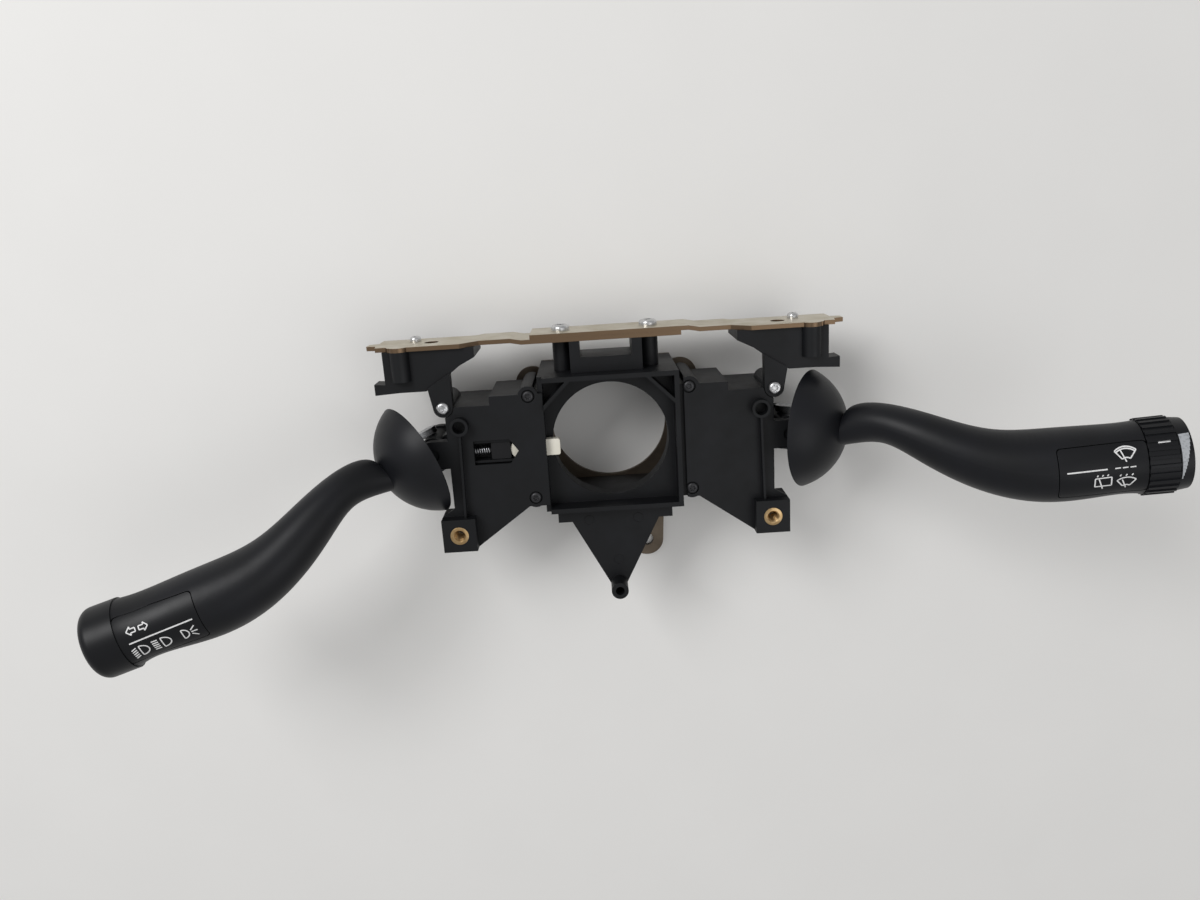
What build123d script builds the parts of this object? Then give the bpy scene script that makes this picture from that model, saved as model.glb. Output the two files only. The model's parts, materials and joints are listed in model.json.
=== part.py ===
"""Combination stalk switch of a car: turn and wiper levers on a column housing.

Millimetres. +X points to the wiper lever, +Y to the steel brackets on top, +Z along the
column bore towards the driver. The origin is the centre of the bore at its front rim.
Parts that come in a pair are written once; sign is -1 for the left one and +1 for the right.
"""
from build123d import *
from math import cos, radians, sin, tan
import os

os.makedirs("parts", exist_ok=True)

# ---------------------------------------------------------------- driving dimensions
# column housing
bore_dia = 54.0
collar_wall = 2.0
collar_length = 9.0
tray_gap = 2.8               # between the bore and the tray's walls
frame_wall = 2.2
bore_r = bore_dia / 2
frame_inside = bore_r + tray_gap       # half width and half height of the square tray
frame_outside = frame_inside + frame_wall
diaphragm_t = 3.0
rim_z = 10.0                 # front rim of the tray
rear_z = -40.0               # the housing sits on the flange plate here
diagonal_reach = 10.5        # how far the corner braces cut across the tray

# flange plate
flange_t = 2.0
flange_ear_r = 8.5
flange_hole_r = 3.3
ear_x = frame_outside + 5.0
ear_y = 21.0
tongue_x = 16.5
tongue_y = -66.0
tongue_near = -8.0
tongue_far = 27.0
screw_corner = frame_outside - 5.2
flange_screw_r = 1.4
flange_screw_head_r = 2.7
flange_screw_head_t = 1.3
flange_screw_length = 11.0
flange_boss_r = 3.6

# triangular shroud bracket under the tray
triangle_z = 3.0
triangle_t = 3.0
triangle_half = frame_outside - 5.0
triangle_strip = 6.8
triangle_waist = 20.5
shroud_boss_y = -71.0
shroud_boss_r = 4.0
shroud_boss_height = 10.5
shroud_core_r = 2.1

# switch modules
cover_z = 8.0
cover_t = 2.0
module_floor_z = -30.0
module_wall = 2.0
left_cover_inner = frame_inside + 0.1
right_cover_inner = frame_outside + 2.0
module_inner = frame_outside + 0.1
module_outer = 74.5
module_top_inner = 25.0
module_top_outer = 21.0
module_step = 54.0
module_bottom = -28.0
slant_top = 39.5
module_screw_u = module_inner + 4.3
module_screw_v = 24.0
module_screw_r = 1.5
screw_boss_r = 4.6
screw_recess_r = 3.0
screw_recess_depth = 1.2

# shroud fixings on the covers
block_u = 72.6               # centre of the brass insert
block_v = -38.4
block_half = 7.8
block_top_z = 14.0
block_bottom_z = -4.0
insert_r = 4.3
insert_core_r = 2.1
insert_length = 11.0
ring_u = 68.2
ring_v = 12.5
ring_r = 4.2
ring_core_r = 2.9
ring_top_z = 12.5
cover_rib_t = 1.1

# levers
pivot_u = 82.0
pivot_v = -1.0
pivot_z = -8.0
droop = 11.6                 # neutral lever, below the horizontal
detent_angle = 10.5          # neutral to either latched position
rise = 33.0                  # dome axis, towards the driver
dome_r = 30.0
dome_wall = 2.0
dome_rim = 12.4              # distance of the dome's rim plane from the pivot
grip_end_left = 142.0
grip_end_right = 135.0

# gimbal
running_gap = 0.05
loose_gap = 0.3
trunnion_r = 3.0
ear_plate_t = 4.0
ear_plate_r = 8.0
hub_r = 7.0
cross_pin_r = 1.75
fork_t = 3.0
fork_reach = 8.5
rod_r = 3.0

# cancelling pawl
pawl_tip_u = bore_r - 3.4
pawl_half = 3.8
pawl_low = 1.0
pawl_high = 4.8
pawl_head_u = 46.3

# top brackets
bracket_t = 2.0
post_x = 20.3
post_z = -11.0
post_r = 4.2
post_top = 46.5
bracket_outer_y = 47.5
strip_front = 1.0
strip_back = -23.0
pod_front = 6.0
pod_back = -21.0
pod_outer = 100.0
pod_inner = 59.0
pod_bottom = 28.8

SIDES = {"left": -1, "right": 1}
DETENT = {"left": -detent_angle, "right": detent_angle}


# ---------------------------------------------------------------- helpers
def save(name, solid):
    """Label a finished piece and write it out under its own name."""
    solid.label = name
    export_step(solid, f"parts/{name}.step")


def side_points(sign, *points):
    """Turn (outboard, up) pairs into X, Y pairs on the given side."""
    return [(sign * u, v) for u, v in points]


def lever_plane(side):
    """Plane at the lever's pivot in its stored detent: x runs out along the lever, z to the driver."""
    sign = SIDES[side]
    angle = radians(DETENT[side] - droop)
    out = (sign * cos(angle), sin(angle), 0)
    return Plane(origin=(sign * pivot_u, pivot_v, pivot_z), x_dir=out, z_dir=(0, 0, 1))


# ---------------------------------------------------------------- column housing
pier_x = 14.2
pier_half = 2.3
cross_wall_y = frame_outside + 7.0

flange_screw_places = [(x, y) for x in (-screw_corner, screw_corner) for y in (-screw_corner, screw_corner)]

with BuildPart() as column_housing:
    # square sleeve between the flange plate and the tray
    with BuildSketch(Plane.XY.offset(rear_z)):
        Rectangle(2 * frame_outside, 2 * frame_outside)
        Rectangle(2 * frame_inside, 2 * frame_inside, mode=Mode.SUBTRACT)
    extrude(amount=-diaphragm_t - rear_z)
    # corner bosses for the flange screws
    with BuildSketch(Plane.XY.offset(rear_z)):
        with Locations(*flange_screw_places):
            Circle(flange_boss_r)
        Rectangle(2 * frame_outside, 2 * frame_outside, mode=Mode.INTERSECT)
    extrude(amount=flange_screw_length + 2.0)
    with BuildSketch(Plane.XY.offset(rear_z)):
        with Locations(*flange_screw_places):
            Circle(flange_screw_r)
    extrude(amount=flange_screw_length - flange_t + 0.5, mode=Mode.SUBTRACT)

save("column_housing", column_housing.part)

with BuildPart() as column_tray:
    # shallow square tray with the bored floor
    with BuildSketch(Plane.XY.offset(-diaphragm_t)):
        Rectangle(2 * frame_outside, 2 * frame_outside)
        Rectangle(2 * frame_inside, 2 * frame_inside, mode=Mode.SUBTRACT)
    extrude(amount=rim_z + diaphragm_t)
    with BuildSketch(Plane.XY):
        Rectangle(2 * frame_outside, 2 * frame_outside)
        Circle(bore_r, mode=Mode.SUBTRACT)
    extrude(amount=-diaphragm_t)
    with BuildSketch(Plane.XY):
        Circle(bore_r + collar_wall)
        Circle(bore_r, mode=Mode.SUBTRACT)
    extrude(amount=-collar_length)
    # corner braces of the octagonal rim
    with BuildSketch(Plane.XY):
        for sign in SIDES.values():
            with BuildLine():
                Polyline(
                    *side_points(
                        sign,
                        (frame_inside - diagonal_reach - frame_wall, frame_inside),
                        (frame_inside - diagonal_reach, frame_inside),
                        (frame_inside, frame_inside - diagonal_reach),
                        (frame_inside, frame_inside - diagonal_reach - frame_wall),
                    ),
                    close=True,
                )
            make_face()
    extrude(amount=rim_z)
    # the left switch cover laps over the left wall
    with BuildSketch(Plane.XY.offset(cover_z - cover_t - loose_gap)):
        with Locations((-frame_outside, 0)):
            Rectangle(2 * frame_wall + 0.2, 2 * (frame_outside + 1))
    extrude(amount=rim_z, mode=Mode.SUBTRACT)
    # slot in the left wall for the cancelling pawl
    with Locations((-frame_outside, pivot_v, (pawl_low + cover_z) / 2 - loose_gap)):
        Box(3 * frame_wall, 2 * (pawl_half + loose_gap), cover_z - pawl_low, mode=Mode.SUBTRACT)

save("column_tray", column_tray.part)

with BuildPart() as bracket_tower:
    # cross wall, piers and screw posts that carry the brackets
    with BuildSketch(Plane.XY.offset(strip_back)):
        with Locations((0, (frame_outside + cross_wall_y) / 2)):
            Rectangle(2 * (pier_x + pier_half), cross_wall_y - frame_outside)
        for x in (-pier_x, pier_x):
            with Locations((x, (frame_outside + post_top) / 2)):
                Rectangle(2 * pier_half, post_top - frame_outside)
    extrude(amount=strip_front - strip_back)
    with BuildSketch(Plane.XZ.offset(-frame_outside)):
        with Locations((-post_x, post_z), (post_x, post_z)):
            Circle(post_r)
    extrude(amount=-(post_top - frame_outside))
    with BuildSketch(Plane.XZ.offset(-post_top)):
        with Locations((-post_x, post_z), (post_x, post_z)):
            Circle(1.6)
    extrude(amount=12.0, mode=Mode.SUBTRACT)

save("bracket_tower", bracket_tower.part)

with BuildPart() as shroud_bracket:
    # triangular bracket with its tubular boss
    with BuildSketch(Plane.XY.offset(triangle_z)):
        with BuildLine():
            Polyline(
                (-triangle_half, -frame_outside),
                (-triangle_half, -frame_outside - triangle_strip),
                (-triangle_waist, -frame_outside - triangle_strip),
                (-shroud_boss_r, shroud_boss_y),
                (shroud_boss_r, shroud_boss_y),
                (triangle_waist, -frame_outside - triangle_strip),
                (triangle_half, -frame_outside - triangle_strip),
                (triangle_half, -frame_outside),
                close=True,
            )
        make_face()
        with Locations((0, shroud_boss_y)):
            Circle(shroud_boss_r)
    extrude(amount=-triangle_t)
    with BuildSketch(Plane.XY.offset(triangle_z)):
        with Locations((0, shroud_boss_y)):
            Circle(shroud_boss_r)
    extrude(amount=shroud_boss_height)
    with Locations((0, shroud_boss_y, triangle_z + shroud_boss_height)):
        Hole(shroud_core_r, depth=shroud_boss_height + triangle_t - 2.0)

save("shroud_bracket", shroud_bracket.part)

# ---------------------------------------------------------------- flange plate
with BuildPart() as flange_plate:
    with BuildSketch(Plane.XY.offset(rear_z)):
        Rectangle(2 * frame_outside, 2 * frame_outside)
        with Locations((-ear_x, ear_y), (ear_x, ear_y)):
            Circle(flange_ear_r)
        with BuildLine():
            Polyline(
                (tongue_near, -frame_outside),
                (tongue_x - flange_ear_r, tongue_y),
                (tongue_x + flange_ear_r, tongue_y),
                (tongue_far, -frame_outside),
                close=True,
            )
        make_face()
        with Locations((tongue_x, tongue_y)):
            Circle(flange_ear_r)
        Circle(frame_inside - 1.0, mode=Mode.SUBTRACT)
        with Locations((-ear_x, ear_y), (ear_x, ear_y), (tongue_x, tongue_y)):
            Circle(flange_hole_r, mode=Mode.SUBTRACT)
        with Locations(*flange_screw_places):
            Circle(flange_screw_r + 0.1, mode=Mode.SUBTRACT)
    extrude(amount=-flange_t)
    with BuildSketch(Plane.XY.offset(rear_z - flange_t)):
        with Locations(*flange_screw_places):
            Circle(flange_screw_head_r + 0.1)
    extrude(amount=flange_screw_head_t, taper=45, mode=Mode.SUBTRACT)

save("flange_plate", flange_plate.part)

# countersunk screws from behind, flush with the flange plate
with BuildPart() as flange_screws:
    with BuildSketch(Plane.XY.offset(rear_z - flange_t)):
        with Locations(*flange_screw_places):
            Circle(flange_screw_head_r)
    extrude(amount=flange_screw_head_t, taper=45)
    with BuildSketch(Plane.XY.offset(rear_z - flange_t)):
        with Locations(*flange_screw_places):
            Circle(flange_screw_r)
    extrude(amount=flange_screw_length)

save("flange_screws", flange_screws.part)

# ---------------------------------------------------------------- switch modules
interior_z = module_floor_z + module_wall
cover_under = cover_z - cover_t
hub_half = 10.5
front_ear_z = pivot_z + hub_half + loose_gap
rear_ear_z = pivot_z - hub_half - loose_gap
lug_u = 75.0
lug_v = 21.0
lug_r = 4.4
lug_t = 5.0
lug_z = cover_z - lug_t
board_u = 61.2
board_length = 22.0
board_v = -3.0
board_width = 36.0
board_t = 1.6
board_top = -21.2
terminal_pitch = 3.0
terminal_count = 7
terminal_side = 0.8
terminal_hole = terminal_side + 2 * running_gap
socket_length = 26.0
socket_width = 14.0
socket_wall = 1.4
socket_u = 56.0
doorway_half = 14.0


def module_outline(sign, inner):
    """Stepped outline shared by a module's housing and cover."""
    with BuildSketch() as outline:
        with BuildLine():
            Polyline(
                *side_points(
                    sign,
                    (inner, module_top_inner),
                    (module_step, module_top_inner),
                    (module_step, module_top_outer),
                    (module_outer, module_top_outer),
                    (module_outer, module_bottom),
                    (inner, module_bottom),
                ),
                close=True,
            )
        make_face()
    return outline.sketch


def terminal_places(sign):
    """Row of terminal positions of a module."""
    first = socket_u - terminal_pitch * (terminal_count - 1) / 2
    return [(sign * (first + terminal_pitch * i), board_v) for i in range(terminal_count)]


def cover_screw_places(sign):
    """The two cover screws of a module."""
    return side_points(sign, (module_screw_u, module_screw_v), (module_screw_u, -module_screw_v))


def switch_housing(sign):
    """Deep rear shell of a module, open in front, with the lever's doorway outboard."""
    with BuildPart() as housing:
        with BuildSketch(Plane.XY.offset(module_floor_z)):
            add(module_outline(sign, module_inner))
        extrude(amount=cover_under - module_floor_z)
        with BuildSketch(Plane.XY.offset(interior_z)):
            add(module_outline(sign, module_inner))
            offset(amount=-module_wall, mode=Mode.REPLACE)
        extrude(amount=cover_under - interior_z, mode=Mode.SUBTRACT)
        # corner bosses for the cover screws and the lug screw
        with BuildSketch(Plane.XY.offset(module_floor_z)):
            with Locations(*cover_screw_places(sign)):
                Circle(screw_boss_r)
            with Locations((sign * module_inner, 0)):
                Rectangle(2 * frame_wall, 80, mode=Mode.SUBTRACT)
        extrude(amount=cover_under - module_floor_z)
        with BuildSketch(Plane.XY.offset(-20.0)):
            with Locations((sign * lug_u, lug_v)):
                Circle(lug_r)
        extrude(amount=lug_z + 20.0)
        with BuildSketch(Plane.XY.offset(lug_z)):
            with Locations((sign * lug_u, lug_v)):
                Circle(lug_r + loose_gap)
        extrude(amount=cover_z - lug_z, mode=Mode.SUBTRACT)
        if sign < 0:
            # slot for the cancelling pawl
            with Locations((-module_inner, pivot_v, (pawl_low + cover_z) / 2 - loose_gap)):
                Box(3 * module_wall, 2 * (pawl_half + loose_gap), cover_z - pawl_low, mode=Mode.SUBTRACT)
        # doorway for the lever and the rear ear that carries its trunnion
        with Locations((sign * module_outer, pivot_v, (rear_ear_z + cover_z) / 2)):
            Box(4 * module_wall, 2 * doorway_half, cover_z - rear_ear_z, mode=Mode.SUBTRACT)
        with BuildSketch(Plane.XY.offset(rear_ear_z)):
            with Locations((sign * pivot_u, pivot_v)):
                Circle(ear_plate_r)
            with Locations((sign * (module_outer + pivot_u - module_wall) / 2, pivot_v)):
                Rectangle(pivot_u - module_outer + module_wall, 2 * ear_plate_r)
        extrude(amount=-ear_plate_t)
        with Locations((sign * pivot_u, pivot_v, rear_ear_z)):
            Hole(trunnion_r + running_gap, depth=ear_plate_t)
        # rails under the contact board
        with BuildSketch(Plane.XY.offset(interior_z)):
            for v in (board_v - board_width / 2 + 1.5, board_v + board_width / 2 - 1.5):
                with Locations((sign * board_u, v)):
                    Rectangle(board_length - 4, 2.0)
        extrude(amount=board_top - board_t - interior_z)
        # connector socket with its row of terminal holes
        with BuildSketch(Plane.XY.offset(module_floor_z)):
            with Locations((sign * socket_u, board_v)):
                Rectangle(socket_length, socket_width)
                Rectangle(socket_length - 2 * socket_wall, socket_width - 2 * socket_wall, mode=Mode.SUBTRACT)
        extrude(amount=rear_z - flange_t - module_floor_z)
        with BuildSketch(Plane.XY.offset(module_floor_z)):
            with Locations(*terminal_places(sign)):
                Rectangle(terminal_hole, terminal_hole)
        extrude(amount=module_wall, mode=Mode.SUBTRACT)
        # screw cores
        with Locations(*[(x, y, cover_under) for x, y in cover_screw_places(sign)]):
            Hole(module_screw_r, depth=18.0)
        with Locations((sign * lug_u, lug_v, lug_z)):
            Hole(module_screw_r, depth=14.0)
    return housing.part


channel_half = 4.1
channel_wall = 1.2
channel_inner_u = module_inner + module_wall + 1.9
channel_outer_u = 64.4
channel_floor = -0.2
window_outer_u = 63.0
window_inner_u = 46.5
window_tip_u = 42.5
window_half = 5.7
plunger_length = 9.0
plunger_stub_r = 1.4
cancel_spring_r = 2.1
cancel_wire_r = 0.3


def switch_cover(sign, inner):
    """Front plate of a module with the shroud fixings, the front ear and its ribs."""
    with BuildPart() as cover:
        with BuildSketch(Plane.XY.offset(cover_under)):
            add(module_outline(sign, inner))
            with BuildLine():
                Polyline(
                    *side_points(
                        sign,
                        (slant_top, module_bottom),
                        (block_u - block_half, block_v - block_half),
                        (block_u + block_half, block_v - block_half),
                        (block_u + block_half, block_v + block_half),
                        (module_outer, module_bottom + 1.0),
                    ),
                    close=True,
                )
            make_face()
            with Locations(*cover_screw_places(sign)):
                Circle(screw_boss_r)
            with Locations((sign * inner / 2, 0)):
                Rectangle(inner, 4 * module_top_inner, mode=Mode.SUBTRACT)
            with Locations((sign * lug_u, lug_v)):
                Circle(lug_r + loose_gap, mode=Mode.SUBTRACT)
        extrude(amount=cover_t)
        # block of the brass insert
        with BuildSketch(Plane.XY.offset(block_bottom_z)):
            with Locations((sign * block_u, block_v)):
                Rectangle(2 * block_half, 2 * block_half)
        extrude(amount=block_top_z - block_bottom_z)
        # ring boss and the long rib that joins it to the block
        with BuildSketch(Plane.XY.offset(cover_z)):
            with Locations((sign * ring_u, ring_v)):
                Circle(ring_r)
        extrude(amount=ring_top_z - cover_z)
        rib_low = block_v + block_half
        with BuildSketch(Plane.XY.offset(cover_z)):
            with BuildLine():
                Polyline(
                    *side_points(
                        sign,
                        (ring_u - cover_rib_t / 2, ring_v),
                        (ring_u + cover_rib_t / 2, ring_v),
                        (ring_u + 1.2 + cover_rib_t / 2, rib_low),
                        (ring_u + 1.2 - cover_rib_t / 2, rib_low),
                    ),
                    close=True,
                )
            make_face()
        extrude(amount=ring_top_z - cover_z - 1.0)
        # front ear over the lever's trunnion
        with BuildSketch(Plane.XY.offset(front_ear_z)):
            with Locations((sign * pivot_u, pivot_v)):
                Circle(ear_plate_r - 1.5)
            with Locations((sign * (module_outer + pivot_u - 6) / 2, pivot_v)):
                Rectangle(pivot_u - module_outer + 6, 2 * ear_plate_r - 3)
        extrude(amount=cover_z - front_ear_z)
        with Locations((sign * pivot_u, pivot_v, front_ear_z + ear_plate_t)):
            Hole(trunnion_r + running_gap, depth=ear_plate_t)
        if sign < 0:
            # guide channel of the cancelling slide, with its window
            with BuildSketch(Plane.XY.offset(channel_floor - channel_wall)):
                with Locations((sign * (channel_inner_u + channel_outer_u) / 2, pivot_v)):
                    Rectangle(channel_outer_u - channel_inner_u, 2 * (channel_half + channel_wall))
            extrude(amount=cover_under - channel_floor + channel_wall)
            with BuildSketch(Plane.XY.offset(channel_floor)):
                with Locations((sign * (channel_inner_u + channel_outer_u - channel_wall) / 2, pivot_v)):
                    Rectangle(channel_outer_u - channel_inner_u - channel_wall + 0.02, 2 * channel_half)
            extrude(amount=cover_under - channel_floor, mode=Mode.SUBTRACT)
            with BuildSketch(Plane.XY.offset(cover_under)):
                with BuildLine():
                    Polyline(
                        *side_points(
                            sign,
                            (window_outer_u, pivot_v - window_half),
                            (window_outer_u, pivot_v + window_half),
                            (window_inner_u, pivot_v + window_half),
                            (window_tip_u, pivot_v),
                            (window_inner_u, pivot_v - window_half),
                        ),
                        close=True,
                    )
                make_face()
            extrude(amount=cover_t, mode=Mode.SUBTRACT)
        # bores: insert, ring boss, screws
        with Locations((sign * block_u, block_v, block_top_z)):
            Hole(insert_r, depth=insert_length)
            Hole(insert_core_r + 0.2, depth=block_top_z - block_bottom_z)
        with Locations((sign * ring_u, ring_v, ring_top_z)):
            Hole(ring_core_r, depth=ring_top_z - cover_under - 0.8)
        with Locations(*[(x, y, cover_z) for x, y in cover_screw_places(sign)]):
            CounterBoreHole(module_screw_r + 0.1, screw_recess_r, screw_recess_depth, depth=cover_t)
    return cover.part


def contact_board(sign):
    """Board of fixed contacts, seated on the rails and pierced by the terminals."""
    with BuildPart() as board:
        with BuildSketch(Plane.XY.offset(board_top)):
            with Locations((sign * board_u, board_v)):
                Rectangle(board_length, board_width)
            with Locations(*terminal_places(sign)):
                Rectangle(terminal_hole, terminal_hole, mode=Mode.SUBTRACT)
        extrude(amount=-board_t)
    return board.part


def terminals(sign):
    """Row of square pins from the contact board into the connector socket."""
    with BuildPart() as pins:
        with BuildSketch(Plane.XY.offset(rear_z + 1.5)):
            with Locations(*terminal_places(sign)):
                Rectangle(terminal_side, terminal_side)
        extrude(amount=board_top - rear_z - 1.5)
    return pins.part


for side, sign in SIDES.items():
    save(f"{side}_switch_housing", switch_housing(sign))
    inner_edge = left_cover_inner if sign < 0 else right_cover_inner
    save(f"{side}_switch_cover", switch_cover(sign, inner_edge))
    save(f"{side}_contact_board", contact_board(sign))
    save(f"{side}_terminals", terminals(sign))

# ---------------------------------------------------------------- brass inserts and screws
cover_head_r = 2.6
cover_head_t = 1.8
lug_head_r = 2.9
lug_head_t = 2.2
lid_shank_r = 1.4
lid_shank = 14.0

with BuildPart() as brass_inserts:
    with BuildSketch(Plane.XY.offset(block_top_z)):
        with Locations((-block_u, block_v), (block_u, block_v)):
            Circle(insert_r)
            Circle(insert_core_r, mode=Mode.SUBTRACT)
    extrude(amount=-insert_length)

save("brass_inserts", brass_inserts.part)


def screws(plane, places, head_r, head_t, shank_r, shank_length):
    """Group of identical screws whose heads seat on the plane and whose shanks run down from it."""
    with BuildPart() as group:
        with BuildSketch(plane):
            with Locations(*places):
                Circle(head_r)
        extrude(amount=head_t)
        chamfer(group.faces().group_by(Axis(plane.origin, plane.z_dir))[-1].edges(), head_t * 0.25)
        with BuildSketch(plane):
            with Locations(*places):
                Circle(shank_r)
        extrude(amount=-shank_length)
    return group.part


cover_places = cover_screw_places(-1) + cover_screw_places(1)
cover_seat = Plane.XY.offset(cover_z - screw_recess_depth)
lug_places = [(-lug_u, lug_v), (lug_u, lug_v)]
lug_seat = Plane.XY.offset(cover_z)
save("cover_screws", screws(cover_seat, cover_places, cover_head_r, cover_head_t, lid_shank_r, lid_shank))
save("lug_screws", screws(lug_seat, lug_places, lug_head_r, lug_head_t, lid_shank_r, lid_shank))

# ---------------------------------------------------------------- gimbal and detents
tail_half = 4.5
tail_low = -5.5
tail_high = 4.5
tail_end = 33.0
plunger_r = 2.0
plunger_body = 8.0
plunger_tip = 36.4
detent_depth = 2.2
cam_gap = 0.3
cam_t = 5.0
cam_half_angle = 18.0
spring_wire_r = 0.25
spring_outer_r = 1.7
pocket_depth = 12.5
pin_length = 2 * (hub_r + loose_gap + fork_t)
fork_half = 3.6
fork_bridge = 12.6
fork_bridge_t = 4.0
rod_end = 36.0
return_coil_r = 2.6
return_wire_r = 0.4


def spring_coil(length, radius, wire_r, turns):
    """Coil spring that stands on XY and runs up Z for the given length."""
    with BuildPart() as coil:
        with BuildLine() as wire:
            Helix(
                pitch=(length - 2 * wire_r) / turns,
                height=length - 2 * wire_r,
                radius=radius - wire_r,
                center=(0, 0, wire_r),
            )
        with BuildSketch(Plane(origin=wire.line @ 0, z_dir=wire.line % 0)):
            RegularPolygon(wire_r, 6)
        sweep()
    return coil.part


def turn_carrier():
    """Hub with two trunnions and a tail that holds the detent plunger; local to the pivot."""
    with BuildPart() as carrier:
        with BuildSketch(Plane.XY.offset(-hub_half)):
            Circle(hub_r)
        extrude(amount=2 * hub_half)
        with BuildSketch(Plane.XY.offset(-hub_half - ear_plate_t)):
            Circle(trunnion_r)
        extrude(amount=2 * (hub_half + ear_plate_t))
        with BuildSketch(Plane.XY.offset(tail_low)):
            with Locations((-tail_end / 2, 0)):
                Rectangle(tail_end, 2 * tail_half)
        extrude(amount=tail_high - tail_low)
        # bore for the cross pin and pocket for the detent plunger
        with BuildSketch(Plane.XZ.offset(-hub_r - 1)):
            Circle(cross_pin_r + running_gap)
        extrude(amount=2 * hub_r + 2, mode=Mode.SUBTRACT)
        with BuildSketch(Plane.YZ.offset(-tail_end)):
            Circle(plunger_r + running_gap)
        extrude(amount=pocket_depth, mode=Mode.SUBTRACT)
        # clearance for the fork either side of the hub
        with BuildSketch(Plane.XY.offset(tail_low)):
            with Locations((-fork_half - 1.0, hub_r), (-fork_half - 1.0, -hub_r)):
                Circle(0.8)
        extrude(amount=tail_high - tail_low, mode=Mode.SUBTRACT)
    return carrier.part


def cross_pin():
    """Steel pin through the hub on which the lever rocks."""
    with BuildPart() as pin:
        with BuildSketch(Plane.XZ.offset(-pin_length / 2)):
            Circle(cross_pin_r)
        extrude(amount=pin_length)
        chamfer(pin.edges().filter_by(GeomType.CIRCLE), 0.3)
    return pin.part


def lever_arm():
    """Fork on the cross pin with the rod that carries the stalk; local to the pivot."""
    along = Plane(origin=(0, 0, 0), x_dir=(cos(radians(rise)), 0, sin(radians(rise))), z_dir=(0, 1, 0))
    with BuildPart() as arm:
        for y in (hub_r + loose_gap, -hub_r - loose_gap - fork_t):
            with BuildSketch(along.offset(y)):
                with Locations((fork_bridge / 2, 0)):
                    Rectangle(fork_bridge, 2 * fork_half)
                Circle(fork_half)
            extrude(amount=fork_t)
        with BuildSketch(along.offset(-hub_r - loose_gap - fork_t)):
            with Locations((fork_bridge + fork_bridge_t / 2, 0)):
                Rectangle(fork_bridge_t, 2 * fork_half)
        extrude(amount=2 * (hub_r + loose_gap + fork_t))
        with BuildSketch(Plane(origin=along.from_local_coords(Vector(fork_bridge, 0, 0)), z_dir=along.x_dir)):
            Circle(rod_r)
        extrude(amount=rod_end - fork_bridge)
        with BuildSketch(Plane.XZ.offset(-hub_r - fork_t - 1)):
            Circle(cross_pin_r + 0.02)
        extrude(amount=2 * (hub_r + fork_t + 1), mode=Mode.SUBTRACT)
    return arm.part


def detent_plunger():
    """Round-nosed plunger that slides in the tail."""
    with BuildPart() as plunger:
        with BuildSketch(Plane.XZ) as profile:
            with BuildLine():
                nose = -plunger_tip
                Polyline(
                    (nose + plunger_r, plunger_r),
                    (nose + plunger_r + plunger_body, plunger_r),
                    (nose + plunger_r + plunger_body, 0),
                    (nose, 0),
                )
                RadiusArc((nose, 0), (nose + plunger_r, plunger_r), -plunger_r)
            make_face()
        revolve(axis=Axis.X)
    return plunger.part


def detent_cam(sign):
    """Curved track with a notch for each latched position, standing on the housing floor."""
    with BuildPart() as cam:
        with BuildSketch(Plane.XY.offset(interior_z)):
            with Locations((sign * pivot_u, pivot_v)):
                Circle(plunger_tip + cam_gap + cam_t)
                Circle(plunger_tip + cam_gap, mode=Mode.SUBTRACT)
            span = plunger_tip + cam_gap + cam_t + 10
            wedge = [
                (pivot_u - span * cos(radians(droop + turn)), pivot_v + span * sin(radians(droop + turn)))
                for turn in (-cam_half_angle, cam_half_angle)
            ]
            with BuildLine():
                Polyline(*side_points(sign, (pivot_u, pivot_v), *wedge), close=True)
            make_face(mode=Mode.INTERSECT)
            notches = [
                (
                    pivot_u - (plunger_tip + 0.6) * cos(radians(droop + turn)),
                    pivot_v + (plunger_tip + 0.6) * sin(radians(droop + turn)),
                )
                for turn in (-detent_angle, 0, detent_angle)
            ]
            with Locations(*side_points(sign, *notches)):
                Circle(detent_depth - 0.6, mode=Mode.SUBTRACT)
        extrude(amount=pivot_z + tail_high - interior_z)
    return cam.part


def turn_contact():
    """Springy brass bridge under the tail that wipes over the contact board."""
    foot = board_top - pivot_z + 0.2
    with BuildPart() as contact:
        with BuildSketch(Plane.XZ.offset(-3.0)):
            with BuildLine():
                Polyline(
                    (-30.0, tail_low),
                    (-12.0, tail_low),
                    (-12.0, tail_low - 0.6),
                    (-15.0, tail_low - 0.6),
                    (-20.0, foot + 0.6),
                    (-20.0, foot),
                    (-22.0, foot),
                    (-22.0, foot + 0.6),
                    (-27.0, tail_low - 0.6),
                    (-30.0, tail_low - 0.6),
                    close=True,
                )
            make_face()
            with BuildLine():
                Polyline(
                    (-16.2, tail_low - 0.6),
                    (-25.8, tail_low - 0.6),
                    (-21.6, foot + 1.4),
                    (-20.4, foot + 1.4),
                    close=True,
                )
            make_face(mode=Mode.SUBTRACT)
        extrude(amount=6.0)
    return contact.part


for side, sign in SIDES.items():
    at_lever = lever_plane(side).location
    save(f"{side}_turn_carrier", turn_carrier().moved(at_lever))
    save(f"{side}_cross_pin", cross_pin().moved(at_lever))
    save(f"{side}_lever_arm", lever_arm().moved(at_lever))
    save(f"{side}_detent_plunger", detent_plunger().moved(at_lever))
    save(f"{side}_turn_contact", turn_contact().moved(at_lever))
    save(f"{side}_detent_cam", detent_cam(sign))
    spring_seat = Plane(origin=(-plunger_tip + plunger_r + plunger_body, 0, 0), z_dir=(1, 0, 0))
    spring_room = plunger_tip - plunger_r - plunger_body - (tail_end - pocket_depth)
    detent_spring = spring_coil(spring_room, spring_outer_r, spring_wire_r, 4)
    save(f"{side}_detent_spring", detent_spring.moved(at_lever * spring_seat.location))

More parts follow.
